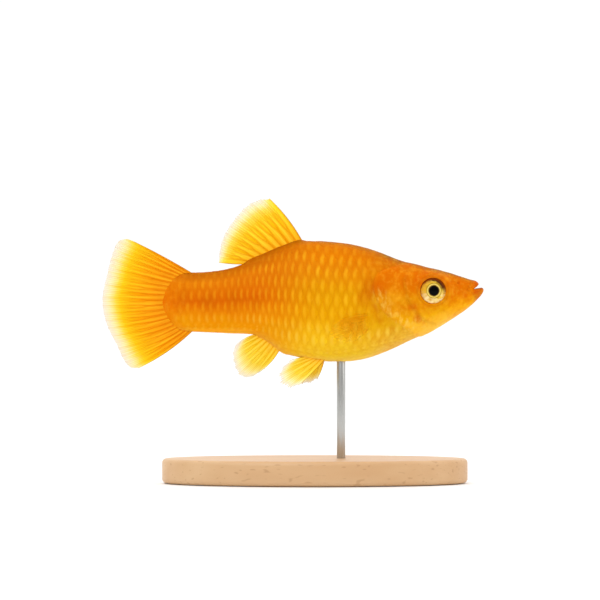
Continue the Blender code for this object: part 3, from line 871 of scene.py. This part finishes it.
# %% Where the body's scales stand
# Gaps in millimetres along the body, those between rows, and the share of the full lift.
SCALE_GAP = smooth([
    (9, 1.7), (26, 1.7), (31, 1.65), (34, 1.4), (37, 1.22), (41, 1.12), (44.5, 1.12), (47, 1.28), (50, 1.4),
    (59, 1.45),
])
ROW_GAP = smooth([(9, 2.1), (20, 2.3), (26, 2.5), (32, 2.62), (38, 2.48), (44, 2.24), (50, 2.1), (59, 2.0)])
ROW_SHIFT = 0.5
ROWS = range(-9, 9)
FIRST_SCALE_S = 10.0
LAST_SCALE_S = TAIL_END_S - 0.8
COAT_OVERLAP = 0.35
LIFT_SHARE = smooth([(9, 0.55), (22, 0.55), (32, 0.8), (40, 0.8), (50, 0.65), (59, 0.5)])
PAST_MIDDLE = {1: -0.3, -1: 0.15}


def degrees_at(at, way_up):
    """Angle above the widest line of one place."""
    return float(degrees_up(turn_at(np.array([at]), np.array([way_up])))[0])


def rows_of(first_s, last_s, gap):
    """Places along the body, half a scale apart. Even rows take every second one."""
    starts = [first_s]
    while starts[-1] < last_s:
        starts.append(starts[-1] + float(gap(starts[-1])) / 2)
    return starts


def body_places(side):
    """(s, way up) of each body scale on one side. The right side's scales close the midlines."""
    starts = rows_of(FIRST_SCALE_S, LAST_SCALE_S, SCALE_GAP)
    places = []
    for row in ROWS:
        for at in starts[row % 2 :: 2]:
            way_up = (row + ROW_SHIFT) * float(ROW_GAP(at))
            line = arc[int(np.interp(at, fine_s, np.arange(len(fine_s))))]
            if not line[0] - PAST_MIDDLE[side] < way_up < line[-1] + PAST_MIDDLE[side]:
                continue
            if at > float(coat_edge(degrees_at(at, way_up))) - COAT_OVERLAP:
                places.append((at, way_up))
    return np.array(places)


# %% Copy the scale over the fish
BODY_LIFT = 0.13
BODY_DEPTH = COAT_DEPTH + 0.02
SCALE_LENGTH = 1.12
COAT_ENDS = (9.1, TAIL_END_S - 0.12)
SIZE_RANGE = (0.96, 1.04)
LIFT_RANGE = (0.85, 1.15)
TIP_DROP = 0.66
SCALE_DOME = 0.35
DASH_LEAN = 0.16
BAKE_SIZE = 0.003


def coat(name, places, sides, gap, row_gap, lift, depth, ground, seed):
    """Scales at (s, way up) places on the sides given, joined in one mesh."""
    random = np.random.default_rng(seed)
    each = len(scale_points)
    total = len(places)
    at, way_up = np.repeat(places, each, axis=0).T
    local = np.tile(scale_points, (total, 1))
    size = np.repeat(random.uniform(*SIZE_RANGE, total), each)
    lift = lift * np.repeat(random.uniform(*LIFT_RANGE, total), each) * LIFT_SHARE(at)
    s = np.clip(at + local[:, 0] * gap(at) * SCALE_LENGTH * size, *COAT_ENDS)
    turn = turn_at(s, way_up + local[:, 1] * row_gap(at) * size)
    place, out = on_body(s, turn)
    back = (local[:, 0] + 1) / 1.5
    lift = lift * (0.2 + 0.8 * ease(pigment_height(s, place[:, 2]) / 0.5))
    rise = ease(back / 0.9) * lift - TIP_DROP * lift * ease((back - 0.74) / 0.26)
    rise += SCALE_DOME * lift * (1 - local[:, 1] ** 2) * back + local[:, 2]
    midline = np.abs(place[:, 1]) / half_width(s)
    rise = rise * (0.5 + 0.5 * ease(midline / 0.4)) - depth + ground(place, turn)
    final = place + out * rise[:, None]
    final[:, 1] *= sides[np.repeat(np.arange(total), each)]
    faces = [[v + i * each for v in face] for i in range(total) for face in scale_faces]
    mesh = bpy.data.meshes.new(name)
    mesh.from_pydata(in_frame(final[:, 0], final[:, 1], final[:, 2]).tolist(), [], faces)
    piece = bpy.data.objects.new(name, mesh)
    bpy.context.scene.collection.objects.link(piece)
    note_markings(piece, s, place[:, 2], degrees_up(turn))
    note(piece, "tone", np.repeat(random.uniform(-1, 1, total), each))
    rear_edge = (0.7 + 0.8 * np.sqrt(1 - local[:, 1] ** 2)) / 1.5
    leaning = DASH_LEAN * local[:, 1] * ease(way_up / 7)
    local_map = np.stack([(local[:, 1] + 1) / 2, back + 1 - rear_edge + leaning], axis=-1)
    lay_map(piece, "scale", local_map)
    rings = np.linspace(0, 1, len(grid_s))[first_outside:]
    root_ring = np.interp(places[:, 0] - gap(places[:, 0]), grid_s[first_outside:, AROUND // 4], rings)
    root_turn = turn_at(places[:, 0], places[:, 1])
    root_turn = np.where(sides > 0, root_turn, math.pi - root_turn)
    root = np.stack([root_ring, ((root_turn + math.pi / 2) / (2 * math.pi)) % 1.0], axis=-1)
    lay_map(piece, "OFBake", np.repeat(root, each, axis=0) + (local_map - 0.5) * BAKE_SIZE)
    close_up(piece, 1e-9)
    print(name, total, "scales")
    return piece


def body_ground(place, turn):
    """What body scales lie on: the body's local swellings."""
    return swellings(place[:, 0], place[:, 1], place[:, 2])


def face_ground(place, turn):
    """What face scales lie on: the gill cover's plate."""
    return gill_plate(place[:, 0], degrees_up(turn))


scales = []
for name, side in (("scales_left", 1), ("scales_right", -1)):
    places = body_places(side)
    sides = np.full(len(places), side)
    scales.append(coat(name, places, sides, SCALE_GAP, ROW_GAP, BODY_LIFT, BODY_DEPTH, body_ground, 7))

# %% Small scales on the gill covers
FACE_GAP = smooth([(9, 1.1), (21, 1.25)])
FACE_ROW = smooth([(9, 1.2), (21, 1.35)])
FACE_LIFT = 0.09
FACE_DEPTH = 0.1
FACE_MARGIN = 0.9
FACE_END_S = 20.0
FACE_ROWS = range(-7, 6)
FACE_DEGREES = (-48, 30)

face_places = []
starts = rows_of(FIRST_SCALE_S, FACE_END_S, FACE_GAP)
for row in FACE_ROWS:
    for at in starts[row % 2 :: 2]:
        way_up = row * float(FACE_ROW(at))
        deg = degrees_at(at, way_up)
        front, rear = float(cheek_edge(deg)) + FACE_MARGIN, float(gill_edge(deg)) - FACE_MARGIN
        if front < at < rear and FACE_DEGREES[0] < deg < FACE_DEGREES[1]:
            face_places.append((at, way_up))
face_places = np.array(face_places + face_places)
face_sides = np.repeat([1, -1], len(face_places) // 2)
scales.append(
    coat("scales_face", face_places, face_sides, FACE_GAP, FACE_ROW, FACE_LIFT, FACE_DEPTH, face_ground, 8)
)

# %% Cycloid scales
# Thin bony plates under clear skin, tinted darker orange towards their edges.
# A painted highlight lies across each middle, where the guanine would shine.
scale_look, add, shader = start_material("overlapping_cycloid_scales", Roughness=0.4, IOR=1.42, **FLESH)
own_place = add("UVMap", uv_map="scale")
off_middle = add("Math", add("SeparateXYZ", own_place, out="X"), 0.5, operation="SUBTRACT")
off_middle = add("Math", off_middle, operation="ABSOLUTE")
back = add("SeparateXYZ", own_place, out="Y")
notes = ("along", "height", "tone")
place, level, tone = [add("Attribute", attribute_name=name, out="Fac") for name in notes]
contrast = add("MapRange", place, 0.5, 0.78, 1.0, 0.4, **SOFT)
low = add("MapRange", level, 0.36, 0.18, **SOFT)
behind_gill = add("MapRange", place, 0.31, 0.42, **SOFT)
contrast = add("Math", contrast, add("Math", behind_gill, low, operation="MAXIMUM"), operation="MULTIPLY")
for amount, none, full in ((place, 0.98, 0.93), (level, -0.25, 0.2), (level, 1.02, 0.84)):
    contrast = add("Math", contrast, add("MapRange", amount, none, full, **SOFT), operation="MULTIPLY")
edge = add("MapRange", back, 0.78, 1.0, **SOFT)
edge = add("Math", edge, add("MapRange", off_middle, 0.2, 0.5), operation="MAXIMUM")
colour = lay_over(add, markings(add), "#D06400", contrast, 0.18, edge)
# The dash is a painted highlight, where the scale's guanine would reflect light.
off_dash = add("Math", add("Math", back, 0.72, operation="SUBTRACT"), operation="ABSOLUTE")
dash = add("MapRange", off_dash, 0.18, 0.03, **SOFT)
narrow = add("MapRange", off_middle, 0.3, 0.05, **SOFT)
tone = add("MapRange", tone, -1.0, 1.0, 0.28, 0.52)
uneven = add("MapRange", cloud_of(add, 5.0, 1), -1.0, 1.0, 0.7, 1.3)
highlight_colour = lay_over(add, "#FFBC20", "#FFD24A", low)
colour = lay_over(add, colour, highlight_colour, dash, narrow, contrast, tone, uneven)
drive(shader, "Base Color", gill_gleam(add, colour))
for piece in scales:
    hand_over(piece, scale_look, "skin")
    bpy.ops.object.shade_smooth_by_angle(angle=math.radians(60))

# %% [markdown]
# ## Eyes
#
# A fish's eye is a ball set in the orbit, here turned a little forwards. Through its clear cornea
# show a black pupil, a narrow pale-gold ring round it with a thin olive line, and a broad iris
# backed by guanine, the silver of fish eyes. The brown shade of the orbit's upper front edge is painted onto
# the iris.
#
# The ball starts as a UV sphere. Its visible cap is flattened to a low dome with a raised lens,
# for a full half ball would stare. The rings are painted by the distance from the eye's axis, so
# a map of its face in millimetres is laid on it before it is turned in.

# %% Eyeballs
PUPIL_RADIUS = 0.89
LENS_RISE = 0.1
LENS_RADIUS = PUPIL_RADIUS + 0.03
FACE_TURNS_DOWN = 2.2
# Place from the axis, width and depth of two furrows in the iris.
IRIS_FURROWS = ((1.16, 0.22, 0.06), (1.95, 0.14, 0.03))


def eyeball(name, side):
    """A ball with a low domed face and a lens, its poles along the eye's axis."""
    ball = new_piece(name, bpy.ops.mesh.primitive_uv_sphere_add, segments=64, ring_count=64, radius=1)
    p = points_of(ball)
    away = np.hypot(p[:, 0], p[:, 1])
    outer = p[:, 2] * side > 0
    polar = np.arctan2(away, np.abs(p[:, 2])) / (math.pi / 2)
    radius = np.where(outer, EYE_RADIUS * polar**0.9, away * EYE_RADIUS)
    face = IRIS_TOP - (IRIS_TOP - IRIS_RIM) * (radius / EYE_SEEN_RADIUS) ** 2
    past = np.maximum(radius - FACE_TURNS_DOWN, 0) / (EYE_RADIUS - FACE_TURNS_DOWN)
    face *= np.sqrt(np.clip(1 - past**2, 0, 1))
    face += LENS_RISE * np.sqrt(np.clip(1 - (radius / LENS_RADIUS) ** 2, 0, 1))
    face -= sum(deep * bell((radius - at) / wide) for at, wide, deep in IRIS_FURROWS)
    depth = np.where(outer, side * face, p[:, 2] * EYE_DEPTH_RADIUS)
    across = p[:, 0] / np.maximum(away, 1e-6) * radius
    up = p[:, 1] / np.maximum(away, 1e-6) * radius
    turned_x = across * math.cos(EYE_TURN) + side * depth * math.sin(EYE_TURN)
    turned_y = depth * math.cos(EYE_TURN) - side * across * math.sin(EYE_TURN)
    place = np.stack([turned_x, turned_y, up], axis=-1)
    move_points(ball, place * MM + in_frame(EYE_AT[0], side * EYE_MIDDLE_Y, EYE_AT[1]))
    lay_map(ball, "eye_face", np.stack([across, up], axis=-1))
    close_up(ball)
    return ball


# %% Iris and cornea
# Mirror-like guanine flakes in yellow pigment, seen through a clear wet cornea.
eye_look, add, shader = start_material(
    "guanine_iris_under_cornea", Roughness=0.35, Specular_IOR_Level=0.02, Coat_Weight=0.1,
    Coat_Roughness=0.03, Coat_IOR=1.38,
)
face = add("UVMap", uv_map="eye_face")
across = add("SeparateXYZ", face, out="X")
up = add("SeparateXYZ", face, out="Y")
from_axis = add("VectorMath", face, (0, 0, 0), operation="DISTANCE", out="Value")
away = add("Math", cloud_of(add, 0.3, 3), 0.05, from_axis, operation="MULTIPLY_ADD")
iris = add("ValToRGB", add("Math", away, EYE_RADIUS, operation="DIVIDE"), stops=[
    (0.0, "#4A3008"), (0.395, "#5E4010"), (0.43, "#DCC060"), (0.49, "#E8CA60"), (0.525, "#A8862A"),
    (0.56, "#B08C28"), (0.6, "#E0B430"), (0.68, "#F0C648"), (0.77, "#E8BC50"), (0.84, "#D09A2C"),
    (0.89, "#EBBE58"), (0.94, "#C47818"), (1.0, "#A0540E"),
])
rear = add("MapRange", across, 0.3, -1.6, **SOFT)
iris = lay_over(add, iris, "#D29208", rear, add("MapRange", away, 1.3, 1.6, 0.0, 0.7))
for size, start, full, most, tint, none_up, full_up in (
    (0.7, 0.0, 0.8, 0.6, "#A4641C", -2.4, -2.0), (0.8, -0.6, 0.5, 0.75, "#F8E2A8", 0.0, -1.2),
    (0.6, 0.4, 1.0, 0.35, "#B49478", -0.6, -1.4),
):
    smudge = add("MapRange", cloud_of(add, size, 1, (1, 1, 1.4)), start, full, 0.0, most)
    outside = add("MapRange", away, 1.32, 1.5)
    iris = lay_over(add, iris, tint, smudge, outside, add("MapRange", up, none_up, full_up))
# The brown crescent at the iris's upper front is painted shadow of the orbit's edge.
shade = add("VectorMath", face, (-0.42, -0.3, 0), operation="DISTANCE", out="Value")
shade = add("Math", cloud_of(add, 0.5, 2), 0.14, shade, operation="MULTIPLY_ADD")
shade = add("MapRange", shade, 1.82, 2.3, **SOFT)
brown = lay_over(add, "#54280A", "#8A3A04", add("MapRange", away, 1.9, 2.2))
iris = lay_over(add, iris, brown, shade, add("MapRange", up, -0.7, 0.6))
pupil = add("MapRange", from_axis, PUPIL_RADIUS + 0.04, PUPIL_RADIUS - 0.04)
drive(shader, "Base Color", lay_over(add, iris, "#020202", pupil))
for name, side in (("eye_left", 1), ("eye_right", -1)):
    hand_over(eyeball("eyeball_" + name[4:], side), eye_look, "eye", name)

# %% [markdown]
# ## Fins
#
# A fin is a thin web held open by bony rays that fork once or twice on their way out. Each fin is a
# flat grid laid on a fan: one side of the grid is the fin's root on the body, the other its free
# margin, and the columns in between are the rays. A weight on each point tells how thick the fin
# is there, thick on a ray and thin on the web, and the Solidify modifier does the rest.

# %% Lay a fin on its fan
FIRST_FORK = 0.22
FORK_STEP = 0.25
FORK_SPREAD = 0.25
FORK_LENGTH = 0.22
RAY_WIDTH = 0.17
THINNEST_RAY = 0.055


def along(path, share):
    """Points at shares of the length of a smooth line through (s, z) points."""
    points = np.array(path, float)
    length = np.concatenate([[0], np.cumsum(np.hypot(*np.diff(points, axis=0).T))])
    at = share * length[-1]
    s = smooth(list(zip(length, points[:, 0])))(at)
    return np.stack([s, smooth(list(zip(length, points[:, 1])))(at)], axis=-1)


def ray_weight(t, r, rays, forks, seed):
    """Two weights from 1 to 0: on a ray's branches against the web, and near a whole ray."""
    random = np.random.default_rng(seed)
    x = t * (rays - 1)
    ray = np.clip(np.round(x), 0, rays - 1).astype(int)
    whole = (ray == 0) | (ray == rays - 1)
    off = np.abs(x - ray)
    near = bell(off / 0.24)
    for fork in range(forks):
        fork_at = FIRST_FORK + FORK_STEP * fork + random.uniform(-0.05, 0.05, rays)[ray]
        spread = np.where(whole, 0, FORK_SPREAD / 2**fork) * ease((r - fork_at) / FORK_LENGTH)
        off = np.abs(off - spread)
    width = np.maximum(RAY_WIDTH - 0.1 * r, THINNEST_RAY)
    return bell(off / width), near


def fin(name, rays, root, margin, bows, sheet_y, thick, forks=2, per_ray=16, rows=60, seed=1, fringe=0.05):
    """A fin from its root line, its margin's points and its thickness at root, margin and web."""
    piece = new_piece(name, grid, x_subdivisions=(rays - 1) * per_ray, y_subdivisions=rows, size=1)
    flat = points_of(piece)
    t = flat[:, 0] + 0.5
    r = flat[:, 1] + 0.5
    weight, near = ray_weight(t, r, rays, forks, seed)
    foot = np.stack(root(t), axis=-1)
    reach = along(margin, t) - foot
    across = np.stack([reach[:, 1], -reach[:, 0]], axis=-1) / np.linalg.norm(reach, axis=1, keepdims=True)
    at_margin = ray_weight(t, np.ones_like(t), rays, forks, seed)
    out = r * (1 - fringe * (1 - 0.5 * at_margin[0] - 0.5 * at_margin[1]))
    bend = (bows[0] + (bows[1] - bows[0]) * t) * 4 * out * (1 - out)
    place = foot + reach * out[:, None] + across * bend[:, None]
    y = sheet_y(place[:, 0], place[:, 1], t, r)
    move_points(piece, in_frame(place[:, 0], y, place[:, 1]))
    on_ray = thick[0] + (thick[1] - thick[0]) * r**0.5
    on_web = thick[2] + (thick[0] * 0.7 - thick[2]) * (1 - ease(r / 0.16))
    thickness = on_web + np.maximum(on_ray - on_web, 0) * weight
    level = np.round(thickness / thickness.max(), 2)
    group = piece.vertex_groups.new(name="thickness")
    for share in np.unique(level):
        group.add(np.flatnonzero(level == share).tolist(), float(share), "REPLACE")
    note(piece, "ray", weight)
    note(piece, "near_ray", near)
    lay_map(piece, "fin", np.stack([t, r], axis=-1))
    web = piece.modifiers.new("web", "SOLIDIFY")
    web.thickness = thickness.max() * MM
    web.offset = 0
    web.vertex_group = "thickness"
    apply_all(piece)
    close_up(piece, 1e-9)
    return piece


def in_middle(wave):
    """A middle fin's sheet: upright, with a slight wave that grows towards the margin."""
    def sheet(s, z, t, r):
        return wave * r * r * np.sin(t * 7.0 + 0.6)
    return sheet


# %% Dorsal, anal and tail fins
# A root starts at a place along the fish, is so long, and lies this deep in the flesh.
DORSAL_ROOT = (33.1, 10.6)
ANAL_ROOT = (37.3, 4.4)
ROOT_DEPTH = 0.45
TAIL_ROOT_DEPTH = 0.5
TAIL_SPREAD = 98


def dorsal_root(t):
    s = DORSAL_ROOT[0] + DORSAL_ROOT[1] * t
    return s, back_line(s) - ROOT_DEPTH


def anal_root(t):
    s = ANAL_ROOT[0] + ANAL_ROOT[1] * t
    return s, belly_line(s) + ROOT_DEPTH


def tail_root(t):
    angle = np.radians(TAIL_SPREAD - 2 * TAIL_SPREAD * t)
    high = (back_line(TAIL_ROUND_S) - belly_line(TAIL_ROUND_S)) / 2 - TAIL_ROOT_DEPTH / 2
    s = TAIL_ROUND_S - TAIL_ROOT_DEPTH + (TAIL_END_S - TAIL_ROUND_S) * np.cos(angle)
    return s, TAIL_MIDDLE_Z + high * np.sin(angle)


fins = {}
fins["dorsal_fin"] = fin(
    "dorsal_fin_web", 10, dorsal_root,
    [(39.3, 30.1), (41.6, 29.8), (43.6, 28.7), (46.0, 26.0), (47.8, 23.0), (48.5, 20.2), (48.6, 18.35)],
    (-0.42, 0.12), in_middle(0.3), (0.62, 0.13, 0.07), per_ray=24, seed=3, fringe=0.02,
)
fins["anal_fin"] = fin(
    "anal_fin_web", 9, anal_root,
    [(41.3, -1.8), (43.2, -2.75), (44.7, -2.5), (45.7, -0.8), (46.1, 1.5), (45.6, 3.1), (44.7, 3.9)],
    (0.4, -0.2), in_middle(0.25), (0.55, 0.12, 0.06), per_ray=20, rows=50, seed=5, fringe=0.05,
)
fins["caudal_fin"] = fin(
    "tail_fin_web", 22, tail_root,
    [
        (64.1, 22.2), (65.6, 22.7), (67.0, 22.3), (68.0, 20.4), (69.0, 16.6), (69.95, 11.5),
        (69.2, 7.2), (67.2, 3.0), (65.8, 0.1), (64.7, -0.9), (63.3, -1.0),
    ],
    (-0.15, 0.5), in_middle(0.35), (0.7, 0.12, 0.07), per_ray=20, rows=66, seed=7, fringe=0.01,
)

# %% Belly fins
PELVIC_ROOT = (29.2, 3.4)
PELVIC_DEPTH = 0.25
PELVIC_ROOT_Y = 1.35
PELVIC_ROOT_Z = 0.3
PELVIC_SPLAY = math.tan(math.radians(20))


def pelvic_root(t):
    s = PELVIC_ROOT[0] + PELVIC_ROOT[1] * t
    return s, under_z(s, PELVIC_ROOT_Y) + PELVIC_DEPTH


def splayed(side):
    def sheet(s, z, t, r):
        return side * (PELVIC_ROOT_Y + (PELVIC_ROOT_Z - z) * PELVIC_SPLAY + 0.12 * r * np.sin(t * 6))
    return sheet


pelvic_margins = {
    "right": [(34.3, -4.3), (35.4, -4.6), (36.8, -4.3), (37.7, -2.9), (37.4, -1.4), (35.8, 0.3)],
    "left": [(30.6, -3.2), (31.6, -3.7), (33.4, -4.1), (34.8, -3.9), (35.6, -2.4), (35.0, -0.6)],
}
for name, side in (("left", 1), ("right", -1)):
    fins["pelvic_fin_" + name] = fin(
        "belly_fin_" + name, 6, pelvic_root, pelvic_margins[name], (0.15, -0.15), splayed(side),
        (0.5, 0.12, 0.06), per_ray=20, rows=44, seed=11, fringe=0.12,
    )

# %% Breast fins
PECTORAL_OUT = math.tan(math.radians(9))
PECTORAL_AT = (20.5, 7.7)
PECTORAL_TOP = (20.0, 9.1)
PECTORAL_FOOT = (20.9, 6.7)
PECTORAL_DEPTH = 0.35
PECTORAL_GAP = 0.25


def pectoral_root(t):
    (top_s, top_z), (foot_s, foot_z) = PECTORAL_TOP, PECTORAL_FOOT
    return top_s + (foot_s - top_s) * t, top_z + (foot_z - top_z) * t


def beside(side):
    def sheet(s, z, t, r):
        away = s - PECTORAL_AT[0]
        foot = side_y(PECTORAL_AT[0], z) - PECTORAL_DEPTH
        foot = foot + (side_y(*PECTORAL_AT) + PECTORAL_GAP - foot) * ease(r * 2.5)
        return side * (foot + away * PECTORAL_OUT - 0.02 * away**2 + 0.1 * r * np.sin(t * 9))
    return sheet


pectoral_margin = [(26.2, 8.0), (27.9, 6.8), (28.6, 5.6), (27.9, 4.6), (26.2, 3.9), (24.4, 3.8), (23.0, 4.7)]
for name, side in (("left", 1), ("right", -1)):
    fins["pectoral_fin_" + name] = fin(
        "breast_fin_" + name, 9, pectoral_root, pectoral_margin, (-0.3, 0.2), beside(side),
        (0.4, 0.1, 0.05), forks=1, per_ray=18, rows=44, seed=13, fringe=0.06,
    )

# %% Fin web and rays
def fin_material(
    name, band, ray_tint, web_tint, ray_share, web_alpha, ray_alpha, paler=(-0.22, -0.1), outer_rays=0.2
):
    """Thin skin over bony rays. Each alpha is given at root, middle and margin."""
    look, add, shader = start_material(name, Roughness=0.5, IOR=1.4, Specular_IOR_Level=0.04)
    place = add("UVMap", uv_map="fin")
    streak = add("TexNoise", add("Mapping", place, None, None, (70.0, 1.4, 1.0)), 1.0, 3.0)
    streak = add("Math", streak, 4.0, -2.0, operation="MULTIPLY_ADD")
    outwards = add("SeparateXYZ", place, out="Y")
    across = add("SeparateXYZ", place, out="X")
    off_centre = add("Math", add("Math", across, 0.5, operation="SUBTRACT"), operation="ABSOLUTE")
    first_ray = add("MapRange", off_centre, 0.485, 0.497, 0.0, 0.65)
    reach = add("Math", streak, 0.04, outwards, operation="MULTIPLY_ADD")
    for inner, edge, most in ((0.12, 0.0, paler[0]), (1.0 - 1.2 * abs(paler[1]), 1.0, paler[1])):
        outer_ray = add("MapRange", across, inner, edge, 0.0, most, **SOFT)
        reach = add("Math", outer_ray, outwards, reach, operation="MULTIPLY_ADD")
    colour = add("ValToRGB", reach, stops=band)
    fading = add("MapRange", outwards, 0.5, 0.95, 1.0, outer_rays, **SOFT)
    ray, near = [add("Attribute", attribute_name=name, out="Fac") for name in ("ray", "near_ray")]
    for amount, low, high, most, tint in (
        (near, 0.7, 0.0, ray_share * 0.5, web_tint), (near, 0.2, 1.0, ray_share * 0.5, ray_tint),
        (streak, 0.0, 0.9, 0.4, web_tint), (streak, 0.0, -0.9, 0.35, ray_tint),
        (ray, 0.2, 1.0, ray_share, ray_tint),
    ):
        colour = lay_over(add, colour, tint, add("MapRange", amount, low, high, 0.0, most), fading)
    drive(shader, "Base Color", lay_over(add, colour, "#987A0C", first_ray, fading))
    alphas = []
    for root, middle, margin in (web_alpha, ray_alpha):
        inner = add("MapRange", reach, 0.08, 0.35, root, middle, **SOFT)
        outer = add("MapRange", reach, 0.88, 1.0, 1.0, margin / middle, **SOFT)
        alphas.append(add("Math", inner, outer, operation="MULTIPLY"))
    drive(shader, "Alpha", add("Mix", ray, *alphas))
    return look


# Orange for most of its length, then golden, with a pale frayed margin.
tail_fin_look = fin_material("orange_tail_fin_web", [
    (0.0, "#E07A00"), (0.15, "#E98802"), (0.32, "#F49A02"), (0.47, "#F8AC04"), (0.6, "#F9C208"),
    (0.72, "#FAD418"), (0.79, "#FBE250"), (0.86, "#FBEDA0"), (0.93, "#FCF4CC"), (1.0, "#FDFAEE"),
], "#DA7800", "#FFD02C", 0.5, (1.0, 1.0, 0.8), (1.0, 1.0, 0.9), outer_rays=0.4)
# Golden from near the root, with pale tips.
fin_look = fin_material("golden_fin_web", [
    (0.0, "#F09004"), (0.1, "#F6A806"), (0.28, "#F9BA08"), (0.48, "#FAC80E"), (0.66, "#FBD524"),
    (0.79, "#FBE25A"), (0.88, "#FCF0AC"), (0.94, "#FCF5D0"), (1.0, "#FDFAEE"),
], "#DE8600", "#FFE044", 0.6, (1.0, 1.0, 0.8), (1.0, 1.0, 0.9), outer_rays=0.3)
# Paler still, and a little clear at its margin, where the white behind it shows.
under_fin_look = fin_material("pale_under_fin_web", [
    (0.0, "#F29E0A"), (0.12, "#FBBE12"), (0.35, "#FCD01C"), (0.6, "#FCDE40"), (0.74, "#FDEB7C"),
    (0.86, "#FEF5BC"), (0.94, "#FFFBE2"), (1.0, "#FFFEF8"),
], "#DAA814", "#FFEC70", 0.5, (1.0, 1.0, 0.7), (1.0, 1.0, 0.8), (0.0, 0.3), 0.5)
# Nearly clear, so that the flank's colour shows through it.
breast_fin_look = fin_material("clear_breast_fin_web", [
    (0.0, "#F8AC08"), (0.4, "#FCB208"), (0.8, "#FCB810"), (1.0, "#FCC42C"),
], "#C47400", "#FFC028", 0.9, (0.0, 0.05, 0.02), (0.0, 0.27, 0.2), outer_rays=0.8)
fin_looks = {
    "caudal": tail_fin_look, "anal": under_fin_look, "pelvic": under_fin_look, "pectoral": breast_fin_look,
}
for node, piece in fins.items():
    hand_over(piece, fin_looks.get(node.split("_")[0], fin_look), "fin", node)

# %% [markdown]
# ## The stand
#
# The stand isn't in the photograph. It is kept plain: an oval of oiled beech with a rounded upper
# edge, and a steel rod glued into it and into the belly. Both start as cylinders.

# %% Base and rod
INSET_MM = 2.5
BASE_EDGE_MM = 0.8
ROD_EDGE_MM = 0.1


def round_edges(piece, width_mm, segments):
    """Rounds a piece's sharp edges."""
    rounding = piece.modifiers.new("rounded_edges", "BEVEL")
    rounding.width = width_mm * MM
    rounding.segments = segments
    rounding.limit_method = "ANGLE"
    apply_all(piece)


cylinder = bpy.ops.mesh.primitive_cylinder_add
low, high = [np.array(corner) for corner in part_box("stand_base")]
base = new_piece("oval_base", cylinder, vertices=160, radius=0.5, depth=1, location=(low + high) / 2)
bpy.ops.transform.resize(value=tuple(high - low))
bpy.ops.object.transform_apply(location=True, rotation=True, scale=True)
bpy.ops.object.mode_set(mode="EDIT")
bpy.ops.mesh.select_mode(type="FACE")
bpy.ops.mesh.select_all(action="DESELECT")
bpy.ops.object.mode_set(mode="OBJECT")
for face in base.data.polygons:
    face.select = abs(face.normal.z) > 0.9
bpy.ops.object.mode_set(mode="EDIT")
bpy.ops.mesh.inset(thickness=INSET_MM * MM, depth=0)
bpy.ops.object.mode_set(mode="OBJECT")
round_edges(base, BASE_EDGE_MM, 5)

low, high = [np.array(corner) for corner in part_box("stand_rod")]
rod = new_piece(
    "steel_rod", cylinder,
    vertices=48, radius=(high[0] - low[0]) / 2, depth=high[2] - low[2], location=(low + high) / 2
)
bpy.ops.object.transform_apply(location=True, rotation=True, scale=True)
round_edges(rod, ROD_EDGE_MM, 2)

# %% Oiled beech and brushed steel
# Beech is pale and even, with short darker flecks a millimetre or two long that run with the grain.
beech_look, add, shader = start_material("oiled_beech", Roughness=0.45, Coat_Weight=0.15, Coat_Roughness=0.3)
bands = add("MapRange", cloud_of(add, 5.0, 2, (0.12, 1, 1)), -1.0, 1.0)
colour = lay_over(add, "#D9B487", "#C99C6C", bands)
flecks = add("MapRange", cloud_of(add, 0.45, 0, (0.25, 1, 1)), 0.75, 1.1, 0.0, 0.4)
drive(shader, "Base Color", lay_over(add, colour, "#A87848", flecks))
drive(shader, "Normal", add("Bump", 0.2, 0.00005, None, cloud_of(add, 0.35, 2, (0.15, 1, 1))))
hand_over(base, beech_look, "beech", "stand_base")
bpy.ops.object.shade_smooth_by_angle(angle=math.radians(35))

# Drawn steel rod, rubbed lengthways with fine paper.
steel_look, add, shader = start_material("brushed_steel", Metallic=1.0)
shader.inputs["Base Color"].default_value = linear("#B9B9B6")
rubbed = cloud_of(add, 0.12, 2, (1, 1, 0.05))
drive(shader, "Roughness", add("Math", rubbed, 0.05, 0.3, operation="MULTIPLY_ADD"))
hand_over(rod, steel_look, "steel", "stand_rod")
bpy.ops.object.shade_smooth_by_angle(angle=math.radians(35))

# %% [markdown]
# ## The floor
#
# A plain white floor that runs out of sight, so that the model stands in the same white as the
# photograph. It lies a tenth of a millimetre under the base, so that the two faces don't flicker.

# %% Floor
floor = new_piece(
    "floor", bpy.ops.mesh.primitive_circle_add,
    vertices=64, radius=4.0, fill_type="NGON", location=(0, 0, -0.1 * MM)
)
bpy.ops.object.transform_apply(location=True, rotation=True, scale=True)
floor_look, add, shader = start_material("matt_white_board", Roughness=0.8)
shader.inputs["Base Color"].default_value = linear("#F6F6F6")
floor.data.materials.append(floor_look)
